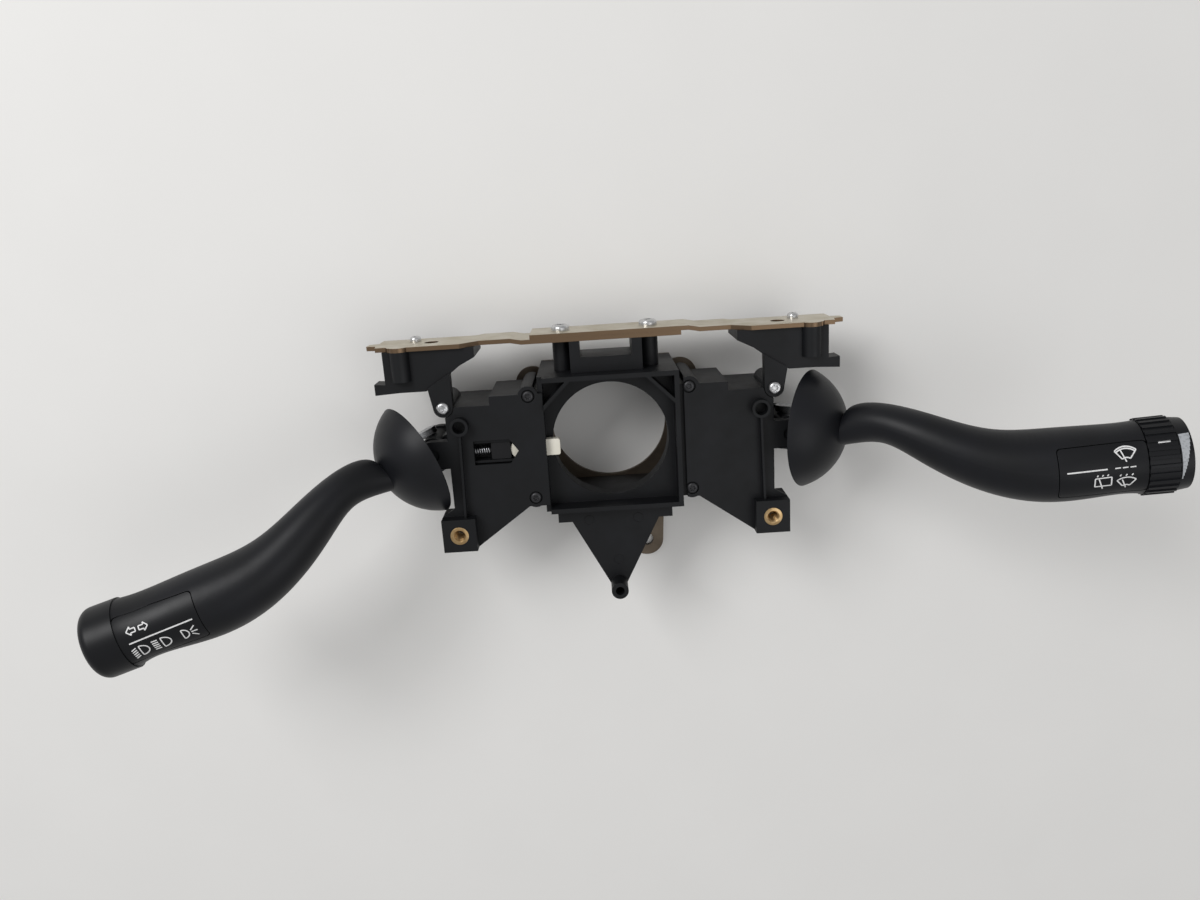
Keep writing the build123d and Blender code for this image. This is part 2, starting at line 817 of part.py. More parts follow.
# ---------------------------------------------------------------- stalks
# stations along a stalk: distance out, sideways, rise above the pivot, radius
STATIONS = [
    (24.5, 0.8, 15.9, 7.2),
    (40.0, 5.4, 26.0, 9.0),
    (58.0, -0.6, 36.4, 10.8),
    (76.0, -7.4, 43.2, 13.1),
    (94.0, -10.2, 47.6, 15.3),
    (112.0, -9.0, 51.8, 15.7),
]
grip_end_r = 15.4
end_rise_slope = tan(radians(13.0))
end_side_slope = 0.135
panel_length = 33.0
panel_width = 21.0
panel_gap = 0.3


def stalk_stations(end):
    """All stations of a stalk whose body ends at the given distance."""
    last = STATIONS[-1]
    step = end - last[0]
    return STATIONS + [(end, last[1] + step * end_side_slope, last[2] + step * end_rise_slope, grip_end_r)]


def end_plane(hand, end):
    """Plane across the end of the grip, z outwards along the grip."""
    s, v, z, r = stalk_stations(end)[-1]
    return Plane(origin=(s, hand * v, z), z_dir=(1, hand * end_side_slope, end_rise_slope))


def stalk_neck(hand, end):
    """Solid neck and grip, lofted through the stations."""
    stations = stalk_stations(end)
    points = [Vector(s, hand * v, z) for s, v, z, r in stations]
    path = Spline(*points, tangents=[dome_axis, end_plane(hand, end).z_dir])
    with BuildPart() as neck:
        for point, (s, v, z, r) in zip(points, stations):
            with BuildSketch(Plane(origin=point, z_dir=path.tangent_at(path.param_at_point(point)))):
                Circle(r)
        loft()
    return neck.part


def stalk_form(hand, end):
    """Dome, neck and grip as one closed outer form, with the hollow of the dome."""
    with BuildPart() as form:
        Sphere(dome_r)
        split(bisect_by=Plane(origin=dome_axis * dome_rim, z_dir=dome_axis), keep=Keep.TOP)
        add(stalk_neck(hand, end))
        Sphere(dome_r - dome_wall, mode=Mode.SUBTRACT)
        # socket for the lever's rod
        with BuildSketch(Plane(origin=dome_axis * (dome_r - 4), z_dir=dome_axis)):
            Circle(rod_r + running_gap)
        extrude(amount=rod_end + loose_gap - dome_r + 4, mode=Mode.SUBTRACT)
    return form.part


def driver_half(end):
    """Everything on the driver's side of the parting surface, which follows the stalk's rise."""
    stations = stalk_stations(end)
    slope = tan(radians(rise))
    beyond = 30.0
    with BuildPart() as half:
        with BuildSketch(Plane.XZ.offset(-2 * dome_r)):
            with BuildLine():
                start = Line((-20, -20 * slope), (stations[0][0], stations[0][2]))
                middle = Spline(
                    *[(s, z) for s, v, z, r in stations], tangents=[(1, slope), (1, end_rise_slope)]
                )
                finish = Line(middle @ 1, middle @ 1 + Vector(beyond, beyond * end_rise_slope))
                Polyline(finish @ 1, (end + beyond, end), (-20, end), start @ 0)
            make_face()
        extrude(amount=4 * dome_r)
    return half.part


def panel_block(hand, end, gap):
    """Block over the grip's driver side that the symbol panel is cut with."""
    along = end_plane(hand, end).z_dir
    normal = (Vector(0, 0, 1) - along * along.Z).normalized()
    start = end_plane(hand, end).origin - along * (panel_length + gap)
    with BuildPart() as block:
        with BuildSketch(Plane(origin=start + normal * (panel_seat - gap), x_dir=along, z_dir=normal)):
            with Locations((panel_length / 2 + gap, 0)):
                RectangleRounded(panel_length + 2 * gap, panel_width + 2 * gap, 1.5)
        extrude(amount=grip_end_r)
    return block.part


def front_shell(hand, end):
    """Driver-side half of a stalk with the pocket for its symbol panel."""
    with BuildPart() as shell:
        add(stalk_form(hand, end))
        add(driver_half(end), mode=Mode.INTERSECT)
        add(panel_block(hand, end, panel_gap), mode=Mode.SUBTRACT)
    return shell.part


def rear_shell(hand, end):
    """Column-side half of a stalk."""
    with BuildPart() as shell:
        add(stalk_form(hand, end))
        add(driver_half(end), mode=Mode.SUBTRACT)
    return shell.part


def symbol_panel(hand, end):
    """Insert that lies flush in the front shell."""
    with BuildPart() as panel:
        add(stalk_neck(hand, end))
        add(panel_block(hand, end, 0), mode=Mode.INTERSECT)
    return panel.part


def left_end_cap():
    """Rounded blank cap that closes the turn lever's grip."""
    with BuildPart() as cap:
        with BuildSketch(end_plane(-1, grip_end_left)):
            Circle(grip_end_r + 0.5)
        extrude(amount=cap_length)
        fillet(cap.faces().sort_by(Axis((0, 0, 0), end_plane(-1, grip_end_left).z_dir))[-1].edges(), 4.5)
    return cap.part


def interval_ring():
    """Ribbed ring that turns about the wiper lever's end."""
    with BuildPart() as ring:
        with BuildSketch(ring_seat):
            Circle(grip_end_r + 0.2)
            with PolarLocations(grip_end_r + 0.2, ring_ribs):
                Rectangle(1.2, 1.4)
            Circle(spigot_r + running_gap, mode=Mode.SUBTRACT)
        extrude(amount=ring_length)
    return ring.part


def right_end_cap():
    """Scale cap on the spigot that carries the ring; it tapers to the end."""
    with BuildPart() as cap:
        with BuildSketch(end_plane(1, grip_end_right)):
            Circle(spigot_r)
        extrude(amount=ring_length + 2 * ring_gap)
        with BuildSketch(end_plane(1, grip_end_right).offset(ring_length + 2 * ring_gap)):
            Circle(grip_end_r)
        extrude(amount=right_cap_length, taper=8)
    return cap.part


cap_length = 15.0
spigot_r = 11.0
ring_length = 11.0
ring_ribs = 28
ring_gap = 0.3
right_cap_length = 5.0
panel_seat = 10.4
dome_axis = Vector(cos(radians(rise)), 0, sin(radians(rise)))
ring_seat = end_plane(1, grip_end_right).offset(ring_gap)
GRIP_END = {"left": grip_end_left, "right": grip_end_right}

for side, sign in SIDES.items():
    at_lever = lever_plane(side).location
    end = GRIP_END[side]
    save(f"{side}_stalk_front", front_shell(sign, end).moved(at_lever))
    save(f"{side}_stalk_rear", rear_shell(sign, end).moved(at_lever))
    save(f"{side}_symbol_panel", symbol_panel(sign, end).moved(at_lever))
save("left_end_cap", left_end_cap().moved(lever_plane("left").location))
save("right_end_cap", right_end_cap().moved(lever_plane("right").location))
save("interval_ring", interval_ring().moved(lever_plane("right").location))

# ---------------------------------------------------------------- cancelling slide
slide_mid_z = (pawl_low + pawl_high) / 2
plunger_back_u = pawl_head_u + plunger_length
spring_seat_u = channel_outer_u - channel_wall

with BuildPart() as cancel_pawl:
    with BuildSketch(Plane.XY.offset(pawl_low)):
        with Locations((-(pawl_tip_u + pawl_head_u - 3.0) / 2, pivot_v)):
            Rectangle(pawl_head_u - 3.0 - pawl_tip_u, 2 * pawl_half)
        with Locations((-(pawl_head_u - 3.0), pivot_v)):
            Ellipse(3.0, channel_half - running_gap)
    extrude(amount=pawl_high - pawl_low)
    fillet(cancel_pawl.edges().filter_by(Axis.Z).sort_by(Axis.X)[-2:], 1.0)

save("cancel_pawl", cancel_pawl.part)

with BuildPart() as cancel_plunger:
    with BuildSketch(Plane.XY.offset(pawl_low - 0.9)):
        with Locations((-(pawl_head_u + plunger_back_u) / 2, pivot_v)):
            Rectangle(plunger_length, 2 * (channel_half - 0.15))
    extrude(amount=pawl_high - pawl_low + 0.9 + 0.7)
    chamfer(cancel_plunger.edges().filter_by(Axis.Z), 0.5)
    with BuildSketch(Plane.YZ.offset(-plunger_back_u)):
        with Locations((pivot_v, slide_mid_z)):
            Circle(plunger_stub_r)
    extrude(amount=-2.2)

save("cancel_plunger", cancel_plunger.part)

spring_plane = Plane(origin=(-spring_seat_u, pivot_v, slide_mid_z), z_dir=(1, 0, 0))
cancel_spring = spring_coil(spring_seat_u - plunger_back_u, cancel_spring_r, cancel_wire_r, 7)
save("cancel_spring", cancel_spring.moved(spring_plane.location))

# ---------------------------------------------------------------- brackets and mounting blocks
strip_end = 57.0
bracket_tip = 104.0
bracket_ear = 108.4
bracket_front = 8.0
bracket_back = -19.0
joggle_near = 38.0
joggle_far = 43.0
lap_left = 34.0
lap_right = 34.5
pan_hole_r = 2.1
mount_hole_r = 3.25
mount_hole_u = 79.0
mount_hole_z = -4.0
pod_wall = 2.2
pod_boss_u = 92.3
pod_boss_r = 4.4
pod_boss_low = 34.0
pod_screw_u = 87.5
pod_screw_z = -11.0
pod_shoulder_y = 43.0
pod_slope_top_u = 66.0
pod_slope_top_y = 39.5
pod_slope_low_u = 76.0
pod_slope_low_y = 32.0
pod_foot_u = 82.0
pod_post_r = 4.0
pod_hole_r = 1.5
pod_screw_bore = 9.0
arm_near_u = 70.5
arm_near_y = 36.5
arm_far_u = 81.0
arm_far_y = 30.0
foot_in = 6.0
foot_out = 5.0
foot_back = 4.0
pan_head_r = 4.2
pan_head_t = 2.6
pan_shank_r = 1.6
pan_shank = 12.0
pod_head_r = 2.6
pod_head_t = 2.4
pod_shank_r = 1.3
pod_shank = 10.0


def bracket(side, inner_y, lap):
    """Steel strip with a joggle, widening over the mounting block and lapping over its twin."""
    sign = SIDES[side]
    with BuildPart() as plate:
        with BuildSketch(Plane.XY.offset(bracket_back - 10)):
            with BuildLine():
                Polyline(
                    *side_points(
                        sign,
                        (-lap, inner_y),
                        (joggle_near, inner_y),
                        (joggle_far, bracket_outer_y),
                        (bracket_ear, bracket_outer_y),
                        (bracket_ear, bracket_outer_y + bracket_t),
                        (joggle_far, bracket_outer_y + bracket_t),
                        (joggle_near, inner_y + bracket_t),
                        (-lap, inner_y + bracket_t),
                    ),
                    close=True,
                )
            make_face()
        extrude(amount=bracket_front - bracket_back + 20)
        with BuildSketch(Plane.XZ):
            with BuildLine():
                Polyline(
                    *side_points(
                        sign,
                        (-lap, strip_back),
                        (strip_end, strip_back),
                        (strip_end + 3, bracket_back),
                        (bracket_tip, bracket_back),
                        (bracket_tip, -9.0),
                        (bracket_ear, -8.0),
                        (bracket_ear, -2.0),
                        (bracket_tip, -1.0),
                        (bracket_tip - 1, bracket_front - 3),
                        (pod_boss_u + 6, bracket_front - 3),
                        (pod_boss_u + 4.5, bracket_front),
                        (strip_end + 8, bracket_front),
                        (strip_end, strip_front),
                        (-lap, strip_front),
                    ),
                    close=True,
                )
            make_face()
            with Locations((pod_boss_u * sign, pod_front)):
                Circle(pod_boss_r)
            with Locations((post_x, post_z), (-post_x, post_z)):
                Circle(pan_hole_r, mode=Mode.SUBTRACT)
            with Locations((sign * mount_hole_u, mount_hole_z)):
                Circle(mount_hole_r, mode=Mode.SUBTRACT)
            with Locations((sign * pod_screw_u, pod_screw_z)):
                Circle(pod_hole_r, mode=Mode.SUBTRACT)
        extrude(amount=-100, mode=Mode.INTERSECT)
    return plate.part


def mounting_block(sign):
    """Hollow block under the bracket, with its arm down to the module's lug screw."""
    with BuildPart() as block:
        with BuildSketch(Plane.XY.offset(pod_back)):
            with BuildLine():
                Polyline(
                    *side_points(
                        sign,
                        (pod_outer, bracket_outer_y),
                        (pod_inner, bracket_outer_y),
                        (pod_inner, pod_shoulder_y),
                        (pod_slope_top_u, pod_slope_top_y),
                        (pod_slope_low_u, pod_slope_low_y),
                        (pod_foot_u, pod_bottom),
                        (pod_outer - 1.5, pod_bottom),
                        (pod_outer, pod_bottom + 2.0),
                    ),
                    close=True,
                )
            outline = make_face()
        extrude(amount=pod_front - pod_back)
        with BuildSketch(Plane.XY.offset(pod_back)):
            add(outline)
            offset(amount=-pod_wall, mode=Mode.REPLACE)
        extrude(amount=pod_front - pod_back - pod_wall, mode=Mode.SUBTRACT)
        # half-round screw boss on the front and the round post of the small screw
        with BuildSketch(Plane.XZ.offset(-bracket_outer_y)):
            with Locations((sign * pod_boss_u, pod_front)):
                Circle(pod_boss_r)
            with Locations((sign * pod_screw_u, pod_screw_z)):
                Circle(pod_post_r)
        extrude(amount=bracket_outer_y - pod_boss_low)
        with BuildSketch(Plane.XZ.offset(-bracket_outer_y)):
            with Locations((sign * pod_screw_u, pod_screw_z)):
                Circle(pod_shank_r)
        extrude(amount=pod_screw_bore, mode=Mode.SUBTRACT)
        # foot tab
        with BuildSketch(Plane.XY.offset(-foot_back)):
            with BuildLine():
                Polyline(
                    *side_points(
                        sign,
                        (pod_outer - foot_in, pod_bottom),
                        (pod_outer + foot_out, pod_bottom - 0.6),
                        (pod_outer + foot_out, pod_bottom + 4.4),
                        (pod_outer, pod_bottom + 4.0),
                        (pod_outer - foot_in, pod_bottom + 2),
                    ),
                    close=True,
                )
            make_face()
        extrude(amount=pod_front + foot_back)
        # arm to the lug
        with BuildSketch(Plane.XY.offset(lug_z)):
            with BuildLine():
                Polyline(
                    *side_points(
                        sign,
                        (lug_u - lug_r, lug_v),
                        (arm_near_u, arm_near_y),
                        (arm_far_u, arm_far_y),
                        (lug_u + lug_r, lug_v),
                    ),
                    close=True,
                )
            make_face()
            with Locations((sign * lug_u, lug_v)):
                Circle(lug_r)
        extrude(amount=lug_t)
        with Locations((sign * lug_u, lug_v, cover_z)):
            Hole(module_screw_r, depth=lug_t)
    return block.part


save("left_bracket", bracket("left", post_top, lap_right))
save("right_bracket", bracket("right", post_top + bracket_t, lap_left))
for side, sign in SIDES.items():
    save(f"{side}_mounting_block", mounting_block(sign))

bracket_top = Plane(origin=(0, post_top + 2 * bracket_t, 0), x_dir=(1, 0, 0), z_dir=(0, 1, 0))
pan_places = [(-post_x, -post_z), (post_x, -post_z)]
save("bracket_screws", screws(bracket_top, pan_places, pan_head_r, pan_head_t, pan_shank_r, pan_shank))
pod_top = Plane(origin=(0, bracket_outer_y + bracket_t, 0), x_dir=(1, 0, 0), z_dir=(0, 1, 0))
pod_places = [(-pod_screw_u, -pod_screw_z), (pod_screw_u, -pod_screw_z)]
save("block_screws", screws(pod_top, pod_places, pod_head_r, pod_head_t, pod_shank_r, pod_shank))
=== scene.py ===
"""Looks of a combination stalk switch: finishes, fasteners, springs, printed symbols and studio."""

import json
import logging
import math
from collections.abc import Callable
from dataclasses import dataclass, field
from enum import Enum

import bpy
from mathutils import Matrix, Vector

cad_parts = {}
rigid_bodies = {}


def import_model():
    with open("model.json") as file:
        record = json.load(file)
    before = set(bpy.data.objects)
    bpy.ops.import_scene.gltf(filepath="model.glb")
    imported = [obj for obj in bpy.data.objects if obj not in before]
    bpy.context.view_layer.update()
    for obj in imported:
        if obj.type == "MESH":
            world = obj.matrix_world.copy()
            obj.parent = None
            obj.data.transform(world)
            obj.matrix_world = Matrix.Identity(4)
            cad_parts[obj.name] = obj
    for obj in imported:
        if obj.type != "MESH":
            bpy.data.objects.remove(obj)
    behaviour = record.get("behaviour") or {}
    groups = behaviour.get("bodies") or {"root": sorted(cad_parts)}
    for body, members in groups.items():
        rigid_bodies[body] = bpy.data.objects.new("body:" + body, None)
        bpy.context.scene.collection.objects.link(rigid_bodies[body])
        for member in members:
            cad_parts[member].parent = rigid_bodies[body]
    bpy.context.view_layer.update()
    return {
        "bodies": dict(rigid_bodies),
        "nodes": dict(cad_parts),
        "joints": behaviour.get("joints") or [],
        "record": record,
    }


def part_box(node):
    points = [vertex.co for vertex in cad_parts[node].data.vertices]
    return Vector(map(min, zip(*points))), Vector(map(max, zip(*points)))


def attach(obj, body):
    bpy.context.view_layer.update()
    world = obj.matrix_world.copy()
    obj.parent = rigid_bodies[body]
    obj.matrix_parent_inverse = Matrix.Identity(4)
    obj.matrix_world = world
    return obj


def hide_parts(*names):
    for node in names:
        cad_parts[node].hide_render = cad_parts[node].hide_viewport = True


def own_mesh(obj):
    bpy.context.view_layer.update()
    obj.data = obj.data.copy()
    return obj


LOG = logging.getLogger("stalk_switch")
MM = 0.001
SMOOTH_BELOW = math.radians(35)

Point = tuple[float, float]
Triple = tuple[float, float, float]


# ---------------------------------------------------------------- node and colour helpers
def linear(hex_code: str) -> tuple[float, float, float, float]:
    """Turn an sRGB hex code into linear RGBA.

    Args:
        hex_code: six hex digits, such as "1a1a1c".

    Returns:
        The linear colour with alpha 1.
    """
    channels = [int(hex_code[i : i + 2], 16) / 255 for i in (0, 2, 4)]
    return tuple(c / 12.92 if c <= 0.04045 else ((c + 0.055) / 1.055) ** 2.4 for c in channels) + (1.0,)


def add_node(tree: bpy.types.NodeTree, kind: str, settings: dict, links: dict) -> bpy.types.Node:
    """Add a shader node with its settings and links.

    Args:
        tree: the material's node tree.
        kind: the node's type name.
        settings: attributes by name, and socket values by "in:" and the socket's name or number.
        links: output sockets by the name or number of the input that they feed.

    Returns:
        The new node.
    """
    node = tree.nodes.new(kind)
    for name, value in settings.items():
        if name.startswith("in:"):
            key = name[3:]
            node.inputs[int(key) if key.isdigit() else key].default_value = value
        else:
            setattr(node, name, value)
    for name, socket in links.items():
        tree.links.new(socket, node.inputs[int(name) if name.isdigit() else name])
    return node


def start_material(name: str) -> tuple[bpy.types.Material, bpy.types.NodeSocket]:
    """Start a node material.

    Args:
        name: the material's name.

    Returns:
        The material, and the object coordinates that place its textures.
    """
    mat = bpy.data.materials.new(name)
    mat.use_nodes = True
    where = add_node(mat.node_tree, "ShaderNodeTexCoord", {}, {})
    return mat, where.outputs["Object"]


def finish_material(
    mat: bpy.types.Material, links: dict[str, bpy.types.NodeSocket], constants: dict[str, float]
) -> bpy.types.Material:
    """Feed the material's shader.

    Args:
        mat: the material.
        links: output sockets by the shader input that they feed.
        constants: values by the shader input that holds them.

    Returns:
        The same material.
    """
    shader = mat.node_tree.nodes["Principled BSDF"]
    for name, socket in links.items():
        mat.node_tree.links.new(socket, shader.inputs[name])
    for name, value in constants.items():
        shader.inputs[name].default_value = value
    return mat


def noise(
    tree: bpy.types.NodeTree,
    where: bpy.types.NodeSocket,
    size_mm: float,
    detail: float,
    roughness: float = 0.5,
    distortion: float = 0.0,
) -> bpy.types.NodeSocket:
    """Add a noise texture.

    Args:
        tree: the material's node tree.
        where: the coordinates.
        size_mm: about how far across a feature is.
        detail: octaves of finer noise.
        roughness: strength of the finer noise.
        distortion: how far the pattern is swirled.

    Returns:
        The noise, 0 to 1.
    """
    settings = {
        "in:Scale": 1.0 / (size_mm * MM),
        "in:Detail": detail,
        "in:Roughness": roughness,
        "in:Distortion": distortion,
    }
    return add_node(tree, "ShaderNodeTexNoise", settings, {"Vector": where}).outputs["Fac"]


def two_tones(
    tree: bpy.types.NodeTree, factor: bpy.types.NodeSocket, tones: tuple[str, str], stops: Point
) -> bpy.types.NodeSocket:
    """Blend between two sRGB tones.

    Args:
        tree: the material's node tree.
        factor: what drives the blend.
        tones: hex codes of the tones at the low and at the high stop.
        stops: the factors where the low tone ends and the high one is reached.

    Returns:
        The colour.
    """
    ramp = add_node(tree, "ShaderNodeValToRGB", {}, {"Fac": factor})
    for element, tone, stop in zip(ramp.color_ramp.elements, tones, stops):
        element.position = stop
        element.color = linear(tone)
    return ramp.outputs["Color"]


def stretched(
    tree: bpy.types.NodeTree, factor: bpy.types.NodeSocket, at_zero: float, at_one: float
) -> bpy.types.NodeSocket:
    """Map a factor of 0 to 1 onto another span.

    Args:
        tree: the material's node tree.
        factor: the factor.
        at_zero: the value that 0 gives.
        at_one: the value that 1 gives.

    Returns:
        The mapped value.
    """
    ends = {"in:To Min": at_zero, "in:To Max": at_one}
    return add_node(tree, "ShaderNodeMapRange", ends, {"Value": factor}).outputs["Result"]


def relief(
    tree: bpy.types.NodeTree, height: bpy.types.NodeSocket, strength: float, depth_mm: float, edge_mm: float
) -> bpy.types.NodeSocket:
    """Lay a fine relief over edges that are worn round.

    Args:
        tree: the material's node tree.
        height: the relief's height.
        strength: how much of the relief shows.
        depth_mm: depth of the relief.
        edge_mm: radius of the edges.

    Returns:
        The normal.
    """
    edges = add_node(tree, "ShaderNodeBevel", {"samples": 4, "in:Radius": edge_mm * MM}, {})
    bump = add_node(
        tree,
        "ShaderNodeBump",
        {"in:Strength": strength, "in:Distance": depth_mm * MM},
        {"Height": height, "Normal": edges.outputs["Normal"]},
    )
    return bump.outputs["Normal"]


# ---------------------------------------------------------------- finishes
@dataclass(frozen=True)
class MouldedPlastic:
    """Injection-moulded plastic with the grain of its spark-eroded tool.

    The grain breaks the highlight into a soft sheen, and the colour drifts slightly where the
    melt flowed and where hands have polished it.
    """

    name: str
    colour: str
    worn_colour: str
    roughness: float
    grain_mm: float
    grain_depth_mm: float
    edge_mm: float = 0.25
    specular: float = 0.24
    patch_mm: float = 14.0
    patch_stops: Point = (0.35, 0.75)
    roughness_drift: float = 0.08
    grain_strength: float = 0.7

    def material(self) -> bpy.types.Material:
        """Build the plastic's material.

        Returns:
            The material.
        """
        mat, where = start_material(self.name)
        tree = mat.node_tree
        patches = noise(tree, where, self.patch_mm, detail=3.0, roughness=0.6)
        grain = noise(tree, where, self.grain_mm, detail=4.0, roughness=0.55)
        dull, polished = self.roughness + self.roughness_drift, self.roughness - self.roughness_drift
        links = {
            "Base Color": two_tones(tree, patches, (self.colour, self.worn_colour), self.patch_stops),
            "Roughness": stretched(tree, patches, dull, polished),
            "Normal": relief(tree, grain, self.grain_strength, self.grain_depth_mm, self.edge_mm),
        }
        return finish_material(mat, links, {"Specular IOR Level": self.specular})


@dataclass(frozen=True)
class PlatedSteel:
    """Sheet or turned steel with a thin metallic coating.

    Passivation leaves cloudy bands of slightly different tint, and the rolled or drawn metal
    underneath draws the highlight out along one direction.
    """

    name: str
    colour: str
    cloud_colour: str
    roughness: float
    cloud_mm: float
    scratch_mm: float
    scratch_stretch: Triple
    scratch_depth_mm: float = 0.004
    scratch_strength: float = 0.6
    cloud_stops: Point = (0.3, 0.7)
    roughness_drift: float = 0.1
    edge_mm: float = 0.15
    metallic: float = 1.0
    sheared_colour: str = ""
    sheared_span: Point = (0.5, 0.8)

    def sheared(self, tree: bpy.types.NodeTree, sheet: bpy.types.NodeSocket) -> bpy.types.NodeSocket:
        """Brown the blanked edges of a sheet that lies square to Y, where the coating is thin.

        Args:
            tree: the material's node tree.
            sheet: the sheet's own colour.

        Returns:
            The colour of sheet and edges together.
        """
        where = add_node(tree, "ShaderNodeTexCoord", {}, {})
        facing = add_node(tree, "ShaderNodeSeparateXYZ", {}, {"Vector": where.outputs["Normal"]})
        flat = add_node(tree, "ShaderNodeMath", {"operation": "ABSOLUTE"}, {"0": facing.outputs["Y"]})
        edge, face = self.sheared_span
        mask = add_node(
            tree, "ShaderNodeMapRange", {"in:From Min": edge, "in:From Max": face}, {"Value": flat.outputs[0]}
        )
        # a colour mix takes its factor at input 0 and its colours at 6 and 7, and gives output 2
        mixed = add_node(
            tree,
            "ShaderNodeMix",
            {"data_type": "RGBA", "in:6": linear(self.sheared_colour)},
            {"0": mask.outputs["Result"], "7": sheet},
        )
        return mixed.outputs[2]

    def material(self) -> bpy.types.Material:
        """Build the coated metal's material.

        Returns:
            The material.
        """
        mat, where = start_material(self.name)
        tree = mat.node_tree
        clouds = noise(tree, where, self.cloud_mm, detail=4.0, distortion=0.6)
        drawn = add_node(tree, "ShaderNodeMapping", {"in:Scale": self.scratch_stretch}, {"Vector": where})
        scratches = noise(tree, drawn.outputs["Vector"], self.scratch_mm, detail=3.0)
        colour = two_tones(tree, clouds, (self.colour, self.cloud_colour), self.cloud_stops)
        if self.sheared_colour:
            colour = self.sheared(tree, colour)
        bright, dull = self.roughness - self.roughness_drift, self.roughness + self.roughness_drift
        links = {
            "Base Color": colour,
            "Roughness": stretched(tree, scratches, bright, dull),
            "Normal": relief(tree, scratches, self.scratch_strength, self.scratch_depth_mm, self.edge_mm),
        }
        return finish_material(mat, links, {"Metallic": self.metallic})


@dataclass(frozen=True)
class PadPrint:
    """Pad-printed ink: thin, matt and slightly uneven where the pad lifted."""

    name: str
    colour: str
    thin_colour: str
    roughness: float = 0.6
    speckle_mm: float = 0.8
    speckle_stops: Point = (0.3, 0.5)

    def material(self) -> bpy.types.Material:
        """Build the ink's material.

        Returns:
            The material.
        """
        mat, where = start_material(self.name)
        speckle = noise(mat.node_tree, where, self.speckle_mm, detail=2.0)
        ink = two_tones(mat.node_tree, speckle, (self.thin_colour, self.colour), self.speckle_stops)
        return finish_material(mat, {"Base Color": ink}, {"Roughness": self.roughness})


@dataclass(frozen=True)
class CastPaper:
    """Seamless studio paper: matt, pale and barely fibrous."""

    name: str
    colour: str
    fibre_colour: str
    fibre_mm: float = 60.0
    fibre_stops: Point = (0.0, 1.0)
    roughness: float = 0.75
    specular: float = 0.2

    def material(self) -> bpy.types.Material:
        """Build the paper's material.

        Returns:
            The material.
        """
        mat, where = start_material(self.name)
        fibres = noise(mat.node_tree, where, self.fibre_mm, detail=3.0)
        tone = two_tones(mat.node_tree, fibres, (self.fibre_colour, self.colour), self.fibre_stops)
        constants = {"Roughness": self.roughness, "Specular IOR Level": self.specular}
        return finish_material(mat, {"Base Color": tone}, constants)


Finish = MouldedPlastic | PlatedSteel | PadPrint | CastPaper


# Glass-filled nylon of the housings: near black, dull, with a fine eroded grain.
HOUSING_NYLON = MouldedPlastic("moulded_glass_filled_nylon", "0e0f11", "141518", 0.48, 0.5, 0.03)
# Grained ABS of the stalks: soft satin that shows a broad highlight.
STALK_ABS = MouldedPlastic("grained_abs", "0f1013", "14151a", 0.44, 0.35, 0.016, patch_mm=25.0)
# Smoother ABS of the symbol panels and the caps.
PANEL_ABS = MouldedPlastic("satin_abs", "0d0e11", "121317", 0.4, 0.4, 0.01, patch_mm=20.0)
# Acetal that runs without grease: natural warm white, slightly waxy.
PAWL_ACETAL = MouldedPlastic("natural_acetal", "d6d2c4", "e4e0d4", 0.4, 0.6, 0.01, specular=0.5)
# The same acetal with black pigment, a little glossier where it slides.
SLIDE_ACETAL = MouldedPlastic("black_acetal", "141416", "1a1a1c", 0.38, 0.6, 0.01)
# Phenolic laminate: amber brown and fairly dull, slightly mottled.
BOARD_LAMINATE = MouldedPlastic("phenolic_laminate", "5a3d1c", "6b4b26", 0.5, 0.3, 0.01)
# Zinc-plated pressed steel with yellow chromate: pale straw with faint clouds, brown where blanked.
YELLOW_STEEL = PlatedSteel(
    "yellow_passivated_steel", "b4aa92", "cec7b8", 0.38, 9.0, 0.25, (0.08, 1.0, 1.0), sheared_colour="786450"
)
# The same passivation on the flange plate: brown steel, its colour darkened further as painted shade for the
# shadow that falls on it.
BROWN_STEEL_PAINTED_SHADE = PlatedSteel("brown_passivated_steel_painted_shade", "5a5147", "6e6458", 0.46, 11.0, 0.3, (1.0, 0.1, 1.0))
# Zinc-plated screws: cool grey, bright on the crown.
ZINC_SCREW = PlatedSteel("zinc_plated_steel", "b9babc", "d0d0d0", 0.3, 2.0, 0.2, (1.0, 1.0, 1.0))
# Blackened steel of the cover screws, rubbed a little brighter on the crown.
BLACK_SCREW = PlatedSteel("blackened_steel", "2a2a2c", "3c3c3e", 0.4, 2.0, 0.2, (1.0, 1.0, 1.0), metallic=0.6)
# Ground and drawn steel of pins and springs: bright, its sheen drawn out along one direction.
BRIGHT_STEEL = PlatedSteel("bright_drawn_steel", "a8a9ac", "bfc0c2", 0.28, 3.0, 0.15, (1.0, 1.0, 0.2))
# Free-machining brass of the inserts and the contacts: soft warm yellow with fine turning marks.
TURNED_BRASS = PlatedSteel("turned_brass", "ae8f63", "c8ac82", 0.32, 2.5, 0.15, (1.0, 1.0, 0.15))
# White ink of the lever symbols, thin where the pad lifted.
SYMBOL_INK = PadPrint("white_pad_print", "e2e2e2", "c2c2c2")
# Silver ink of the interval scale: greyer, with a slight gloss.
SCALE_INK = PadPrint("silver_pad_print", "a6a9ad", "8b8e92", 0.45)
# Pale backdrop paper: keeps the shadows soft and throws light back up.
STUDIO_PAPER = CastPaper("seamless_paper", "e6e5e3", "e2e1df")

